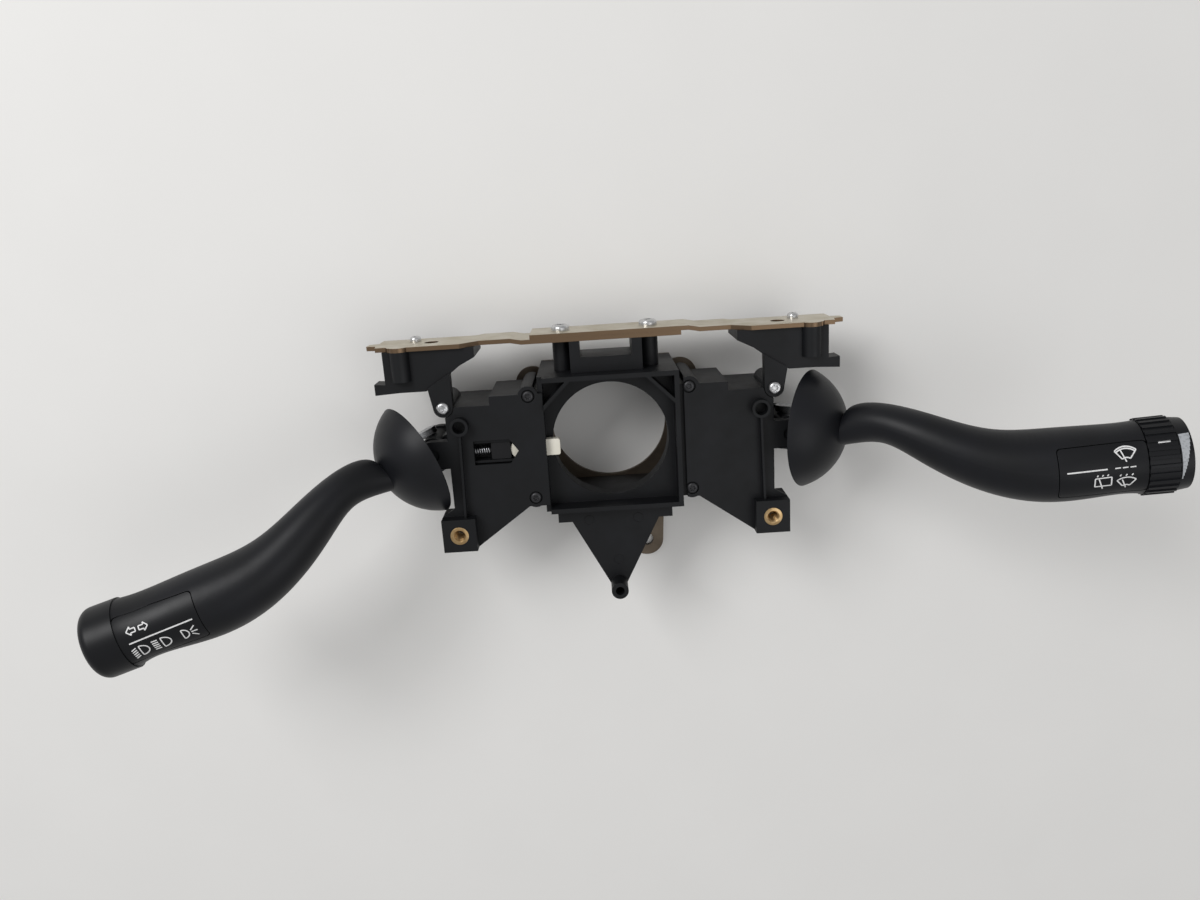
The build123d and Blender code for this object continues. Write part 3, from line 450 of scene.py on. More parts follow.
# Each finish with the endings of the names of the nodes that have it.
NODE_FINISHES: tuple[tuple[Finish, tuple[str, ...]], ...] = (
    (HOUSING_NYLON, ("column_housing", "column_tray", "bracket_tower", "shroud_bracket")),
    (HOUSING_NYLON, ("switch_housing", "switch_cover", "mounting_block", "detent_cam", "turn_carrier")),
    (STALK_ABS, ("stalk_front", "stalk_rear")),
    (PANEL_ABS, ("symbol_panel", "end_cap", "interval_ring")),
    (PAWL_ACETAL, ("cancel_pawl",)),
    (SLIDE_ACETAL, ("cancel_plunger",)),
    (BOARD_LAMINATE, ("contact_board",)),
    (YELLOW_STEEL, ("left_bracket", "right_bracket")),
    # the flange plate's dark brown is partly its passivation and partly painted shade
    (BROWN_STEEL_PAINTED_SHADE, ("flange_plate",)),
    (BLACK_SCREW, ("flange_screws", "cover_screws")),
    (ZINC_SCREW, ("lug_screws", "bracket_screws", "block_screws")),
    (BRIGHT_STEEL, ("spring", "cross_pin", "detent_plunger", "lever_arm")),
    (TURNED_BRASS, ("brass_inserts", "terminals", "turn_contact")),
)


@dataclass
class Materials:
    """Makes each finish's material once."""

    made: dict[str, bpy.types.Material] = field(default_factory=dict)

    def of(self, finish: Finish) -> bpy.types.Material:
        """Return a finish's material, made on first use.

        Args:
            finish: the finish.

        Returns:
            Its material.
        """
        if finish.name not in self.made:
            self.made[finish.name] = finish.material()
        return self.made[finish.name]

    def dress(self, piece: bpy.types.Object, finish: Finish) -> None:
        """Give the whole piece one finish.

        Args:
            piece: the piece.
            finish: its finish.
        """
        piece.data.materials.clear()
        piece.data.materials.append(self.of(finish))


def finish_of(node: str) -> Finish:
    """Look up the finish of a CAD node by its name.

    Args:
        node: the node's name.

    Returns:
        Its finish.

    Raises:
        KeyError: no finish is meant for such a node.
    """
    for finish, endings in NODE_FINISHES:
        if node.endswith(endings):
            return finish
    raise KeyError(node)


def dress_nodes(nodes: dict[str, bpy.types.Object], materials: Materials) -> None:
    """Give each CAD node its real material.

    Args:
        nodes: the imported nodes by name.
        materials: the material store.
    """
    for name, node in sorted(nodes.items()):
        materials.dress(node, finish_of(name))
        LOG.info("node %s: %s", name, finish_of(name).name)


# ---------------------------------------------------------------- modelling steps
def fresh_selection() -> None:
    """Leave nothing selected, in object mode."""
    if bpy.context.object and bpy.context.object.mode != "OBJECT":
        bpy.ops.object.mode_set(mode="OBJECT")
    bpy.ops.object.select_all(action="DESELECT")


def select_only(piece: bpy.types.Object) -> None:
    """Select the piece alone and make it active.

    Args:
        piece: the piece.
    """
    fresh_selection()
    piece.select_set(True)
    bpy.context.view_layer.objects.active = piece


def apply_modifier(piece: bpy.types.Object, kind: str, **settings: object) -> None:
    """Add a modifier with its settings and apply it.

    Args:
        piece: the object to change.
        kind: the modifier's type.
        settings: attributes of the modifier.
    """
    select_only(piece)
    modifier = piece.modifiers.new(kind.lower(), kind)
    for name, value in settings.items():
        setattr(modifier, name, value)
    bpy.ops.object.modifier_apply(modifier=modifier.name)


def bake_place(piece: bpy.types.Object) -> None:
    """Put the object's place, turn and scale into its mesh.

    Args:
        piece: the object.
    """
    select_only(piece)
    bpy.ops.object.transform_apply(location=True, rotation=True, scale=True)


def added(primitive: Callable[..., set[str]], **settings: object) -> bpy.types.Object:
    """Add a primitive, with its place and turn baked into its mesh.

    Args:
        primitive: the operator that adds it.
        settings: the operator's settings.

    Returns:
        The new piece.
    """
    fresh_selection()
    primitive(**settings)
    piece = bpy.context.object
    bake_place(piece)
    return piece


def joined(pieces: list[bpy.types.Object], name: str) -> bpy.types.Object:
    """Join baked pieces into one object.

    Args:
        pieces: the pieces.
        name: the whole's name.

    Returns:
        The whole.
    """
    fresh_selection()
    for piece in pieces:
        piece.select_set(True)
    bpy.context.view_layer.objects.active = pieces[0]
    if len(pieces) > 1:
        bpy.ops.object.join()
    whole = bpy.context.view_layer.objects.active
    whole.name = name
    return whole


def remove(piece: bpy.types.Object) -> None:
    """Delete a helper object.

    Args:
        piece: the object.
    """
    select_only(piece)
    bpy.ops.object.delete()


def cut_away(piece: bpy.types.Object, cutter: bpy.types.Object) -> None:
    """Cut a form out of a piece, and delete the cutter.

    Args:
        piece: the piece to cut.
        cutter: the form.
    """
    apply_modifier(piece, "BOOLEAN", operation="DIFFERENCE", object=cutter, solver="EXACT")
    remove(cutter)


def smooth(piece: bpy.types.Object) -> None:
    """Shade the piece smooth, with sharp edges kept.

    Args:
        piece: the piece.
    """
    select_only(piece)
    bpy.ops.object.shade_smooth_by_angle(angle=SMOOTH_BELOW)


def copies(piece: bpy.types.Object, places: list[Matrix]) -> list[bpy.types.Object]:
    """Duplicate a model to each place, baked there, and remove the model.

    Args:
        piece: the model at the origin.
        places: where each copy goes.

    Returns:
        The copies.
    """
    made = []
    for place in places:
        select_only(piece)
        bpy.ops.object.duplicate()
        copy = bpy.context.object
        copy.matrix_world = place
        bake_place(copy)
        made.append(copy)
    remove(piece)
    return made


# ---------------------------------------------------------------- fasteners
class Drive(Enum):
    """Recess in a screw's head: how many bars cross in it, and their width as a share of their reach."""

    SIX_LOBE = (3, 0.6)
    CROSS = (2, 0.38)


class Rise(Enum):
    """Direction in which a group of screws stands."""

    DRIVER = Matrix.Identity(3)
    TOP = Matrix.Rotation(math.radians(-90), 3, "X")


@dataclass(frozen=True)
class ScrewForm:
    """A screw with a rounded head, its drive recess and a threaded shank."""

    head_h: float
    shank_r: float
    drive: Drive
    crown_share: float = 0.6
    recess_share: float = 0.52
    recess_edge_share: float = 0.3
    thread_pitch: float = 1.25 * MM
    thread_share: float = 0.25

    def build(self, head_r: float, shank_l: float) -> bpy.types.Object:
        """Model one screw whose head seats on the XY plane.

        Args:
            head_r: radius of the head.
            shank_l: length below the head.

        Returns:
            The screw.
        """
        head = self.head(head_r)
        self.sink_drive(head, head_r)
        return joined([head, self.shank(shank_l)], "screw")

    def head(self, head_r: float) -> bpy.types.Object:
        """Model the head with its rounded crown.

        Args:
            head_r: radius of the head.

        Returns:
            The head.
        """
        head = added(
            bpy.ops.mesh.primitive_cylinder_add,
            vertices=48,
            radius=head_r,
            depth=self.head_h,
            location=(0, 0, self.head_h / 2),
        )
        bpy.ops.object.mode_set(mode="EDIT")
        bpy.ops.mesh.select_mode(type="FACE")
        bpy.ops.mesh.select_all(action="DESELECT")
        bpy.ops.object.mode_set(mode="OBJECT")
        top = max(head.data.polygons, key=lambda face: face.center.z)
        top.select = True
        bpy.ops.object.mode_set(mode="EDIT")
        bpy.ops.mesh.bevel(offset=self.head_h * self.crown_share, segments=6, affect="EDGES")
        bpy.ops.object.mode_set(mode="OBJECT")
        return head

    def sink_drive(self, head: bpy.types.Object, head_r: float) -> None:
        """Sink crossing bars into the head to cut its recess.

        Args:
            head: the head.
            head_r: its radius.
        """
        bars, width_share = self.drive.value
        reach = head_r * self.recess_share
        width = reach * width_share
        for number in range(bars):
            bar = added(bpy.ops.mesh.primitive_cube_add, size=1.0)
            bar.location = (0, 0, self.head_h)
            bar.scale = (2 * reach, width, self.head_h)
            bar.rotation_euler = (0, 0, math.pi * number / bars)
            bake_place(bar)
            apply_modifier(bar, "BEVEL", width=width * self.recess_edge_share, segments=3)
            cut_away(head, bar)

    def shank(self, shank_l: float) -> bpy.types.Object:
        """Model the shank as a stack of rounded thread crests.

        Args:
            shank_l: length below the head.

        Returns:
            The shank.
        """
        crests = max(1, round(shank_l / self.thread_pitch))
        pitch = shank_l / crests
        crest = added(
            bpy.ops.mesh.primitive_cylinder_add,
            vertices=24,
            radius=self.shank_r,
            depth=pitch,
            location=(0, 0, -pitch / 2),
        )
        apply_modifier(crest, "BEVEL", width=pitch * self.thread_share, limit_method="ANGLE")
        apply_modifier(
            crest,
            "ARRAY",
            count=crests,
            use_relative_offset=False,
            use_constant_offset=True,
            constant_offset_displace=(0, 0, -pitch),
        )
        return crest


@dataclass(frozen=True)
class ScrewSet:
    """The screws that stand for one CAD node of fasteners, placed by that node's box."""

    node: str
    form: ScrewForm
    head_r: float
    rise: Rise
    rows: int = 1

    def places(self) -> list[Matrix]:
        """Work out each screw's seat from the node's box.

        Returns:
            A matrix for each screw, its Z along the screw.
        """
        low, high = (Vector(corner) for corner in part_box(self.node))
        turn = self.rise.value.to_4x4()
        up = self.rise.value @ Vector((0, 0, 1))
        middle = (low + high) / 2
        half = (high - low) / 2 - Vector((self.head_r, self.head_r, self.head_r))
        seat_up = (high - middle).dot(up) - self.form.head_h
        sides = (-1, 1) if self.rows > 1 else (0,)
        return [
            Matrix.Translation(middle + Vector((column * half.x, row * half.y, 0)) + up * seat_up) @ turn
            for column in (-1, 1)
            for row in sides
        ]

    def build(self, materials: Materials) -> None:
        """Model the screws and let them stand for the node.

        Args:
            materials: the material store.
        """
        low, high = (Vector(corner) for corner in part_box(self.node))
        depth = abs((high - low).dot(self.rise.value @ Vector((0, 0, 1))))
        screw = self.form.build(self.head_r, depth - self.form.head_h)
        group = joined(copies(screw, self.places()), f"{self.node}_detailed")
        smooth(group)
        materials.dress(group, finish_of(self.node))
        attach(group, "housing")
        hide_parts(self.node)
        LOG.info("%s: head radius %.1f mm", self.node, self.head_r / MM)
FASTENERS = (
    ScrewSet("lug_screws", ScrewForm(2.2 * MM, 1.4 * MM, Drive.SIX_LOBE), 2.9 * MM, Rise.DRIVER),
    ScrewSet("cover_screws", ScrewForm(1.8 * MM, 1.4 * MM, Drive.SIX_LOBE), 2.6 * MM, Rise.DRIVER, rows=2),
    ScrewSet("bracket_screws", ScrewForm(2.6 * MM, 1.6 * MM, Drive.SIX_LOBE), 4.2 * MM, Rise.TOP),
    ScrewSet("block_screws", ScrewForm(2.4 * MM, 1.3 * MM, Drive.CROSS), 2.6 * MM, Rise.TOP),
)


@dataclass(frozen=True)
class ThreadedInserts:
    """The two threaded brass inserts, flush in their blocks."""

    node: str = "brass_inserts"
    bore_r: float = 2.1 * MM
    countersink: float = 0.7 * MM
    rim_bevel: float = 0.2 * MM
    thread_pitch: float = 0.8 * MM
    crest_r: float = 0.25 * MM

    def build(self, materials: Materials) -> None:
        """Model both inserts in the places of the CAD ones.

        Args:
            materials: the material store.
        """
        low, high = (Vector(corner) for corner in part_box(self.node))
        outer_r = (high.y - low.y) / 2
        length = high.z - low.z
        sleeve = added(
            bpy.ops.mesh.primitive_cylinder_add,
            vertices=64,
            radius=outer_r,
            depth=length,
            location=(0, 0, -length / 2),
        )
        apply_modifier(sleeve, "BEVEL", width=self.rim_bevel, segments=2, limit_method="ANGLE")
        cut_away(sleeve, self.bore(length))
        cut_away(sleeve, self.mouth())
        insert = joined([sleeve] + self.crests(length), "insert")
        middle_y = (low.y + high.y) / 2
        places = [Matrix.Translation((x, middle_y, high.z)) for x in (low.x + outer_r, high.x - outer_r)]
        pair = joined(copies(insert, places), "brass_inserts_threaded")
        smooth(pair)
        materials.dress(pair, TURNED_BRASS)
        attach(pair, "housing")
        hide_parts(self.node)
        LOG.info("brass inserts: %.1f mm across", 2 * outer_r / MM)

    def bore(self, length: float) -> bpy.types.Object:
        """Model the cutter of the bore, well past both ends.

        Args:
            length: the insert's length.

        Returns:
            The cutter.
        """
        return added(
            bpy.ops.mesh.primitive_cylinder_add,
            vertices=48,
            radius=self.bore_r + self.crest_r,
            depth=3 * length,
            location=(0, 0, -length / 2),
        )

    def mouth(self) -> bpy.types.Object:
        """Model the cutter of the countersunk mouth.

        Returns:
            The cutter.
        """
        return added(
            bpy.ops.mesh.primitive_cone_add,
            vertices=48,
            radius1=self.bore_r,
            radius2=self.bore_r + 2 * self.countersink,
            depth=2 * self.countersink,
        )

    def crests(self, length: float) -> list[bpy.types.Object]:
        """Model the thread's crests as slim rings down the bore.

        Args:
            length: the insert's length.

        Returns:
            The rings.
        """
        count = int((length - 3 * self.countersink) / self.thread_pitch)
        return [
            added(
                bpy.ops.mesh.primitive_torus_add,
                location=(0, 0, -2 * self.countersink - number * self.thread_pitch),
                major_segments=32,
                minor_segments=6,
                major_radius=self.bore_r + self.crest_r,
                minor_radius=self.crest_r,
            )
            for number in range(count)
        ]


# ---------------------------------------------------------------- printed symbols
@dataclass(frozen=True)
class GripFrame:
    """Frame at the end of a lever's grip: x outwards along it, y across it, z to the driver.

    The end's place is in millimetres from the lever's pivot.
    """

    pivot: Triple
    side: int
    turn_deg: float
    out: float
    sideways: float
    height: float
    side_slope: float = 0.135
    rise_deg: float = 13.0

    def matrix(self) -> Matrix:
        """Work out the frame's matrix.

        Returns:
            The matrix in the shared frame, in metres.
        """
        angle = math.radians(self.turn_deg)
        outboard = Vector((self.side * math.cos(angle), math.sin(angle), 0))
        up = Vector((0, 0, 1))
        beside = up.cross(outboard)
        rise = math.tan(math.radians(self.rise_deg))
        along = (outboard + beside * self.side * self.side_slope + up * rise).normalized()
        normal = (up - along * along.z).normalized()
        across = normal.cross(along)
        end = Vector(self.pivot) + outboard * self.out + beside * self.side * self.sideways + up * self.height
        basis = Matrix((along, across, normal)).transposed().to_4x4()
        return Matrix.Translation(end * MM) @ basis


@dataclass
class Print:
    """One pad print: flat shapes in millimetres inboard of the grip's end and across it.

    The shapes are drawn in a plane above the grip, and pressed down onto what carries them.
    """

    name: str
    frame: Matrix
    line: float = 0.48
    rule: float = 0.6
    height: float = 19.0
    cell: float = 1.2
    chord: float = 1.0
    lamp_steps: int = 12
    lift: float = 0.02
    thickness: float = 0.05
    shapes: list[bpy.types.Object] = field(default_factory=list)

    def bar(self, start: Point, end: Point, width: float = 0.0) -> None:
        """Add a straight stroke.

        Args:
            start: where it starts.
            end: where it ends.
            width: its width, or 0 for the print's usual line.
        """
        a, b = Vector((-start[0], start[1])), Vector((-end[0], end[1]))
        step = b - a
        cells = max(2, math.ceil(step.length / self.cell))
        stroke = added(bpy.ops.mesh.primitive_grid_add, x_subdivisions=cells, y_subdivisions=2, size=1.0)
        stroke.scale = (step.length * MM, (width or self.line) * MM, 1)
        stroke.rotation_euler = (0, 0, math.atan2(step.y, step.x))
        stroke.location = ((a.x + b.x) / 2 * MM, (a.y + b.y) / 2 * MM, 0)
        bake_place(stroke)
        self.shapes.append(stroke)

    def outline(self, points: list[Point], closed: bool = True) -> None:
        """Add strokes from point to point.

        Args:
            points: the corners.
            closed: whether the last corner joins the first.
        """
        ends = points[1:] + points[:1] if closed else points[1:]
        for start, end in zip(points, ends):
            self.bar(start, end)

    def curve(self, centre: Point, radii: Point, span_deg: Point, steps: int) -> None:
        """Add strokes round part of an ellipse; angles run from across towards inboard.

        Args:
            centre: the ellipse's centre.
            radii: its radius inboard and its radius across.
            span_deg: the angles where it starts and ends.
            steps: how many strokes it takes.
        """
        start, end = span_deg
        turns = [math.radians(start + (end - start) * i / steps) for i in range(steps + 1)]
        points = [(centre[0] + radii[0] * math.sin(t), centre[1] + radii[1] * math.cos(t)) for t in turns]
        self.outline(points, closed=False)

    def arc(self, centre: Point, radius: float, half_deg: float) -> None:
        """Add an arc of short strokes, even to both sides of across.

        Args:
            centre: the arc's centre.
            radius: its radius.
            half_deg: the angle that it spans to either side.
        """
        steps = max(3, math.ceil(radius * math.radians(2 * half_deg) / self.chord))
        self.curve(centre, (radius, radius), (-half_deg, half_deg), steps)

    def lamp(self, flat: Point, size: float, depth: float) -> None:
        """Add a lamp: a half round outline with its flat side outboard.

        Args:
            flat: middle of the flat side.
            size: length of the flat side.
            depth: how far the round side reaches inboard.
        """
        self.curve(flat, (depth, size / 2), (0, 180), self.lamp_steps)
        self.bar((flat[0], flat[1] - size / 2), (flat[0], flat[1] + size / 2))

    def press(self, target: bpy.types.Object, ink: PadPrint, materials: Materials, body: str) -> None:
        """Join the shapes and press them onto the target.

        Args:
            target: the piece that carries the print.
            ink: the ink's finish.
            materials: the material store.
            body: the body that the print rides.
        """
        printed = joined(self.shapes, self.name)
        printed.matrix_world = self.frame @ Matrix.Translation((0, 0, self.height * MM))
        apply_modifier(
            printed,
            "SHRINKWRAP",
            target=target,
            wrap_method="PROJECT",
            use_project_z=True,
            use_negative_direction=True,
            use_positive_direction=False,
            offset=self.lift * MM,
        )
        apply_modifier(printed, "SOLIDIFY", thickness=self.thickness * MM, offset=1.0)
        bake_place(printed)
        materials.dress(printed, ink)
        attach(printed, body)
        LOG.info("print %s on %s: %d points", self.name, target.name, len(printed.data.vertices))


LEFT_GRIP = GripFrame(
    pivot=(-82.0, -1.0, -8.0), side=-1, turn_deg=-22.1, out=142.0, sideways=-4.95, height=58.73
)
RIGHT_GRIP = GripFrame(
    pivot=(82.0, -1.0, -8.0), side=1, turn_deg=-1.1, out=135.0, sideways=-5.89, height=57.11
)


@dataclass(frozen=True)
class TurnLeverPrints:
    """Symbols of the turn lever: turn arrows, low and high beam, parking lamp."""

    body: str = "left_lever"
    rays: int = 5
    ray_line: float = 0.5
    rays_from: float = 3.6
    rays_across: float = 4.2
    arrow_axis: float = -4.0
    arrow_half: tuple[Point, ...] = ((0.0, 0.0), (1.7, 1.75), (1.7, 0.8), (3.7, 0.8))

    def build(self, panel: bpy.types.Object, materials: Materials) -> None:
        """Draw the symbols and press them onto the panel.

        Args:
            panel: the lever's symbol panel.
            materials: the material store.
        """
        mark = Print("turn_lever_symbols", LEFT_GRIP.matrix())
        mark.bar((3.8, 1.0), (30.4, 0.3), mark.rule)
        self.arrow(mark, tip=4.4, way=1)
        self.arrow(mark, tip=13.3, way=-1)
        # low beam, its rays dipped
        mark.lamp((6.4, 5.7), size=4.8, depth=3.4)
        self.beams(mark, near=5.2, far=3.2, dip=0.8)
        # high beam
        mark.lamp((15.4, 5.7), size=4.8, depth=3.6)
        self.beams(mark, near=14.0, far=11.5, dip=0.0)
        # parking lamp, its three rays spread
        mark.lamp((24.0, 5.6), size=4.4, depth=2.6)
        for spread in (-1.0, 0.0, 1.0):
            mark.bar((27.6, 5.6 + 0.9 * spread), (30.2 - 0.5 * abs(spread), 5.6 + 2.5 * spread))
        mark.press(panel, SYMBOL_INK, materials, self.body)

    def arrow(self, mark: Print, tip: float, way: int) -> None:
        """Draw a turn arrow.

        Args:
            mark: the print.
            tip: how far inboard its tip is.
            way: 1 where it points outboard, -1 where it points inboard.
        """
        mirrored = tuple((reach, -level) for reach, level in reversed(self.arrow_half[1:]))
        corners = self.arrow_half + mirrored
        mark.outline([(tip + way * reach, self.arrow_axis + level) for reach, level in corners])

    def beams(self, mark: Print, near: float, far: float, dip: float) -> None:
        """Draw the rays of a headlamp.

        Args:
            mark: the print.
            near: how far inboard they start.
            far: how far inboard they end.
            dip: how far across they slope.
        """
        for number in range(self.rays):
            level = self.rays_from + self.rays_across * number / (self.rays - 1)
            mark.bar((near, level), (far, level + dip), self.ray_line)


@dataclass(frozen=True)
class WiperLeverPrints:
    """Symbols of the wiper lever: windscreen and rear wiper, washers, interval marks."""

    body: str = "right_lever"
    ring: str = "interval_ring"
    fan_half_deg: float = 38.0
    fan_inner: float = 0.38
    arm_from: float = 0.12
    arm_to: Point = (0.28, 0.84)
    scale_bars: int = 12
    scale_line: float = 1.56
    scale_from: float = 10.6
    scale_across: float = 16.0
    scale_start: float = -12.0
    scale_short: float = 0.4
    scale_growth: float = 3.6

    def build(self, nodes: dict[str, bpy.types.Object], materials: Materials) -> None:
        """Draw the symbols, the ring's marker and the scale on the end cap.

        Args:
            nodes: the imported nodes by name.
            materials: the material store.
        """
        frame = RIGHT_GRIP.matrix()
        mark = self.symbols(frame)
        mark.press(nodes["right_symbol_panel"], SYMBOL_INK, materials, self.body)
        marker = Print("interval_marker", frame)
        marker.bar((-4.2, 9.6), (-8.6, 9.7), 0.8)
        marker.press(nodes["interval_ring"], SYMBOL_INK, materials, self.ring)
        scale = self.scale(frame)
        scale.press(nodes["right_end_cap"], SCALE_INK, materials, self.body)

    def symbols(self, frame: Matrix) -> Print:
        """Draw the symbols of the panel.

        Args:
            frame: the grip's frame.

        Returns:
            The print.
        """
        mark = Print("wiper_lever_symbols", frame)
        mark.bar((30.2, 1.1), (15.2, 1.3), mark.rule)
        for start in (12.4, 9.6, 6.8):
            mark.bar((start, 1.3), (start - 2.1, 1.4))
        # windscreen wiper, swept twice
        self.windscreen(mark, (8.0, 2.8), 6.4)
        mark.arc((8.0, 2.8), 5.7, self.fan_half_deg)
        # windscreen washer with its drops
        self.windscreen(mark, (8.2, -8.6), 5.7)
        for drop in (5.8, 8.0, 10.2):
            mark.bar((drop, -1.5), (drop + 0.5, -2.2))
        # rear window with its wiper and its washer's drops
        mark.outline([(19.8, -2.4), (13.7, -2.2), (13.7, -6.0), (19.9, -6.1)])
        mark.bar((16.9, -7.4), (18.4, -2.7))
        for drop in (14.9, 16.8, 18.7):
            mark.bar((drop, -0.9), (drop + 0.4, -1.6))
        return mark

    def windscreen(self, mark: Print, hub: Point, reach: float) -> None:
        """Draw a windscreen as a fan, with its wiper arm.

        Args:
            mark: the print.
            hub: where the fan's sides would meet.
            reach: the fan's outer radius.
        """
        inner = self.fan_inner * reach
        mark.arc(hub, reach, self.fan_half_deg)
        mark.arc(hub, inner, self.fan_half_deg)
        for turn in (-self.fan_half_deg, self.fan_half_deg):
            slope = (math.sin(math.radians(turn)), math.cos(math.radians(turn)))
            mark.bar(
                (hub[0] + inner * slope[0], hub[1] + inner * slope[1]),
                (hub[0] + reach * slope[0], hub[1] + reach * slope[1]),
            )
        tip = (hub[0] + self.arm_to[0] * reach, hub[1] + self.arm_to[1] * reach)
        mark.bar((hub[0], hub[1] + self.arm_from * reach), tip)

    def scale(self, frame: Matrix) -> Print:
        """Draw the interval scale: a wedge of bars that shorten across the cap.

        Args:
            frame: the grip's frame.

        Returns:
            The print.
        """
        scale = Print("interval_scale", frame)
        for number in range(self.scale_bars):
            share = number / (self.scale_bars - 1)
            level = self.scale_from - self.scale_across * share
            length = self.scale_short + self.scale_growth * (1 - share)
            scale.bar((self.scale_start, level), (self.scale_start - length, level), self.scale_line)
        return scale


# ---------------------------------------------------------------- moulding marks
@dataclass(frozen=True)
class EjectorMarks:
    """Round witness marks that the mould's ejector pins left on the shroud bracket."""

    places: tuple[Point, ...] = ((-12.5, -38.4), (10.7, -38.4), (0.4, -59.0))
    radius: float = 2.3
    face_z: float = 3.0
    ridge: float = 0.12

    def build(self, materials: Materials) -> None:
        """Model each mark as a thin raised ring.

        Args:
            materials: the material store.
        """
        rings = [
            added(
                bpy.ops.mesh.primitive_torus_add,
                location=(x * MM, y * MM, self.face_z * MM),
                major_segments=48,
                minor_segments=8,
                major_radius=self.radius * MM,
                minor_radius=self.ridge * MM,
            )
            for x, y in self.places
        ]
        marks = joined(rings, "ejector_marks")
        smooth(marks)
        materials.dress(marks, HOUSING_NYLON)
        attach(marks, "housing")
        LOG.info("ejector marks: %d rings", len(self.places))


# ---------------------------------------------------------------- springs
@dataclass(frozen=True)
class WoundSpring:
    """A spring of round wire in place of its faceted solid, which its slide squeezes."""

    node: str
    joint: str
    turns: int
    wire_r: float
    steps_a_turn: int = 28

    def build(self, joints: dict[str, dict], materials: Materials) -> None:
        """Wind the spring from its seat, by screwing a wire's section, and tie it to its slide.

        Args:
            joints: the record's joints by name; a spring's slide runs towards its seat.
            materials: the material store.
        """
        slide = joints[self.joint]
        axis = Vector(slide["axis"])
        low, high = (Vector(corner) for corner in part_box(self.node))
        outer_r = (high.z - low.z) / 2
        length = (high.x - low.x - 2 * outer_r * abs(axis.y)) / abs(axis.x)
        seat = (low + high) / 2 + axis * length / 2
        spring = added(
            bpy.ops.mesh.primitive_circle_add,
            vertices=12,
            radius=self.wire_r,
            location=(outer_r - self.wire_r, 0, 0),
            rotation=(math.radians(90), 0, 0),
        )
        apply_modifier(
            spring,
            "SCREW",
            axis="Z",
            angle=2 * math.pi,
            screw_offset=(length - 2 * self.wire_r) / self.turns,
            iterations=self.turns,
            steps=self.steps_a_turn,
            render_steps=self.steps_a_turn,
        )
        spring.rotation_mode = "QUATERNION"
        spring.rotation_quaternion = (-axis).to_track_quat("Z", "Y")
        spring.location = seat - axis * self.wire_r
        bake_place(spring)
        bpy.ops.object.mode_set(mode="EDIT")
        bpy.ops.mesh.select_all(action="SELECT")
        bpy.ops.mesh.normals_make_consistent(inside=False)
        bpy.ops.object.mode_set(mode="OBJECT")
        smooth(spring)
        spring.name = f"{self.node}_wound"
        materials.dress(spring, BRIGHT_STEEL)
        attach(spring, slide["parent"])
        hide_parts(self.node)
        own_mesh(spring)


SPRINGS = (
    WoundSpring("cancel_spring", "cancel_travel", 7, 0.3 * MM),
    WoundSpring("left_detent_spring", "left_detent_travel", 4, 0.25 * MM),
    WoundSpring("right_detent_spring", "right_detent_travel", 4, 0.25 * MM),
)


# ---------------------------------------------------------------- studio
@dataclass(frozen=True)
class Softbox:
    """A rectangular area lamp aimed at the switch."""

    name: str
    place: Triple
    size: Point
    watts: float
    colour: str = "ffffff"

    def build(self, target: Vector) -> None:
        """Add the lamp and aim it.

        Args:
            target: the point that it faces.
        """
        lamp = bpy.data.lights.new(self.name, "AREA")
        lamp.shape = "RECTANGLE"
        lamp.size, lamp.size_y = self.size
        lamp.energy = self.watts
        lamp.color = linear(self.colour)[:3]
        holder = bpy.data.objects.new(self.name, lamp)
        bpy.context.scene.collection.objects.link(holder)
        holder.location = self.place
        holder.rotation_mode = "QUATERNION"
        holder.rotation_quaternion = (target - Vector(self.place)).to_track_quat("-Z", "Y")


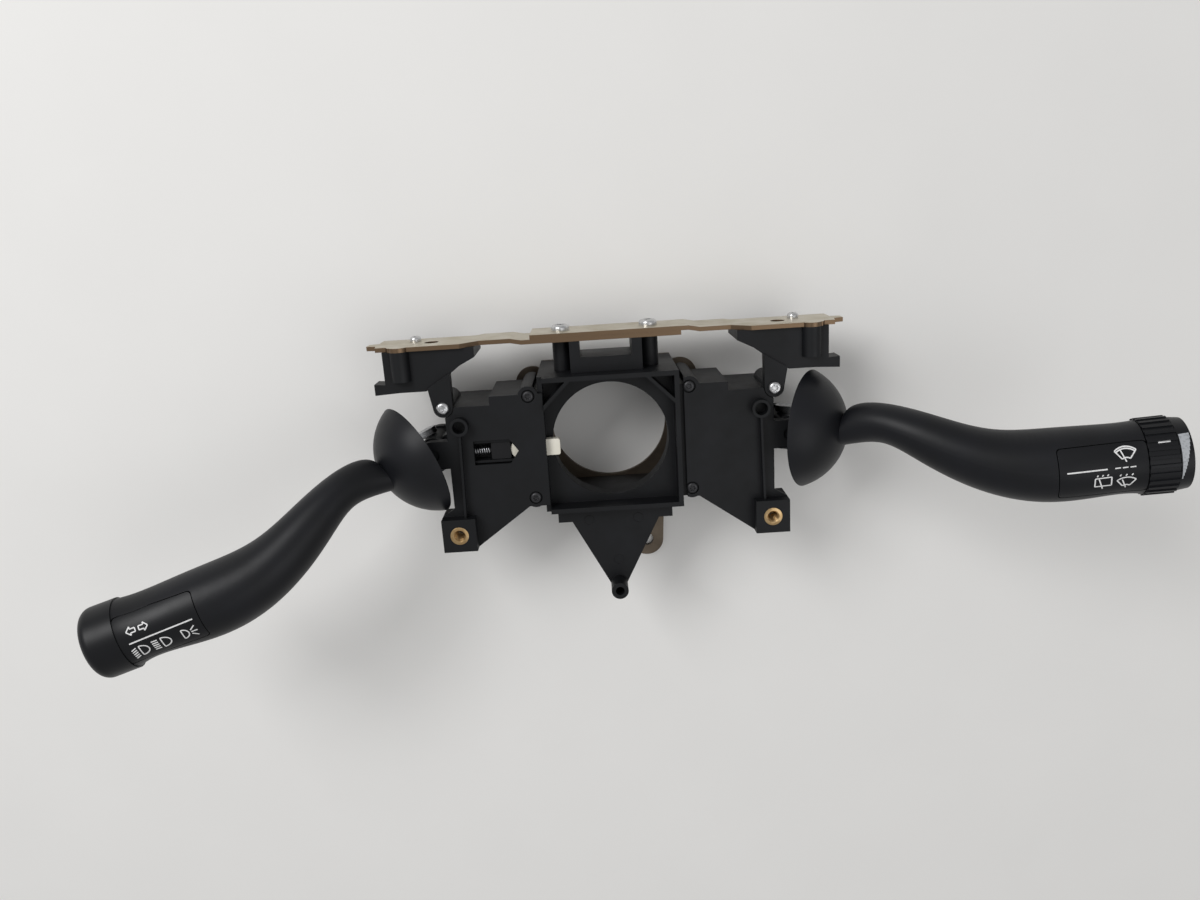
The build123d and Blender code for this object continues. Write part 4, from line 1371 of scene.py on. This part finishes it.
@dataclass
class Studio:
    """Pale floor, soft lamps and a pale world."""

    materials: Materials
    floor_z: float = -0.0422
    floor_half: float = 3.0
    world_hex: str = "ffffff"
    world_strength: float = 0.46
    aim: Triple = (0.0, 0.0, 0.0)
    lamps: tuple[Softbox, ...] = (
        Softbox("key_softbox", (-0.75, 0.75, 1.0), (0.7, 0.6), 11.5),
        Softbox("fill_softbox", (0.7, -0.2, 1.3), (1.0, 1.0), 3.6),
    )

    def build(self) -> None:
        """Build the floor, the lamps and the world."""
        fresh_selection()
        bpy.ops.mesh.primitive_plane_add(size=2 * self.floor_half, location=(0, 0, self.floor_z))
        floor = bpy.context.object
        floor.name = "studio_floor"
        self.materials.dress(floor, STUDIO_PAPER)
        for lamp in self.lamps:
            lamp.build(Vector(self.aim))
        world = bpy.data.worlds.new("pale_room")
        world.use_nodes = True
        sky = world.node_tree.nodes["Background"]
        sky.inputs["Color"].default_value = linear(self.world_hex)
        sky.inputs["Strength"].default_value = self.world_strength
        bpy.context.scene.world = world
        bpy.context.scene.view_settings.view_transform = "Standard"
        LOG.info("studio: floor at %.4f m, %d lamps", self.floor_z, len(self.lamps))


@dataclass(frozen=True)
class Viewpoint:
    """Camera above the switch, looking down its column bore at a slant."""

    place: Triple = (-0.0054, 0.1035, 0.4056)
    right: Triple = (0.99803, -0.06065, 0.01625)
    up: Triple = (0.06279, 0.9640, -0.2583)
    back: Triple = (0.0, 0.2588, 0.9659)
    lens_mm: float = 26.95
    sensor_mm: float = 36.0
    clip_m: float = 0.01

    def build(self) -> None:
        """Add the camera and make it the scene's."""
        data = bpy.data.cameras.new("view")
        data.lens = self.lens_mm
        data.sensor_width = self.sensor_mm
        data.clip_start = self.clip_m
        camera = bpy.data.objects.new("view", data)
        bpy.context.scene.collection.objects.link(camera)
        columns = Matrix((self.right, self.up, self.back)).transposed().to_4x4()
        camera.matrix_world = Matrix.Translation(self.place) @ columns
        bpy.context.scene.camera = camera


def main() -> None:
    """Build the dressed switch in its studio."""
    logging.basicConfig(level=logging.INFO, format="%(name)s: %(message)s")
    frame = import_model()
    materials = Materials()
    nodes = frame["nodes"]
    dress_nodes(nodes, materials)
    for fasteners in FASTENERS:
        fasteners.build(materials)
    ThreadedInserts().build(materials)
    joints = {row["name"]: row for row in frame["record"]["behaviour"]["joints"]}
    for spring in SPRINGS:
        spring.build(joints, materials)
    EjectorMarks().build(materials)
    TurnLeverPrints().build(nodes["left_symbol_panel"], materials)
    WiperLeverPrints().build(nodes, materials)
    Studio(materials).build()
    Viewpoint().build()


if __name__ == "__main__":
    main()
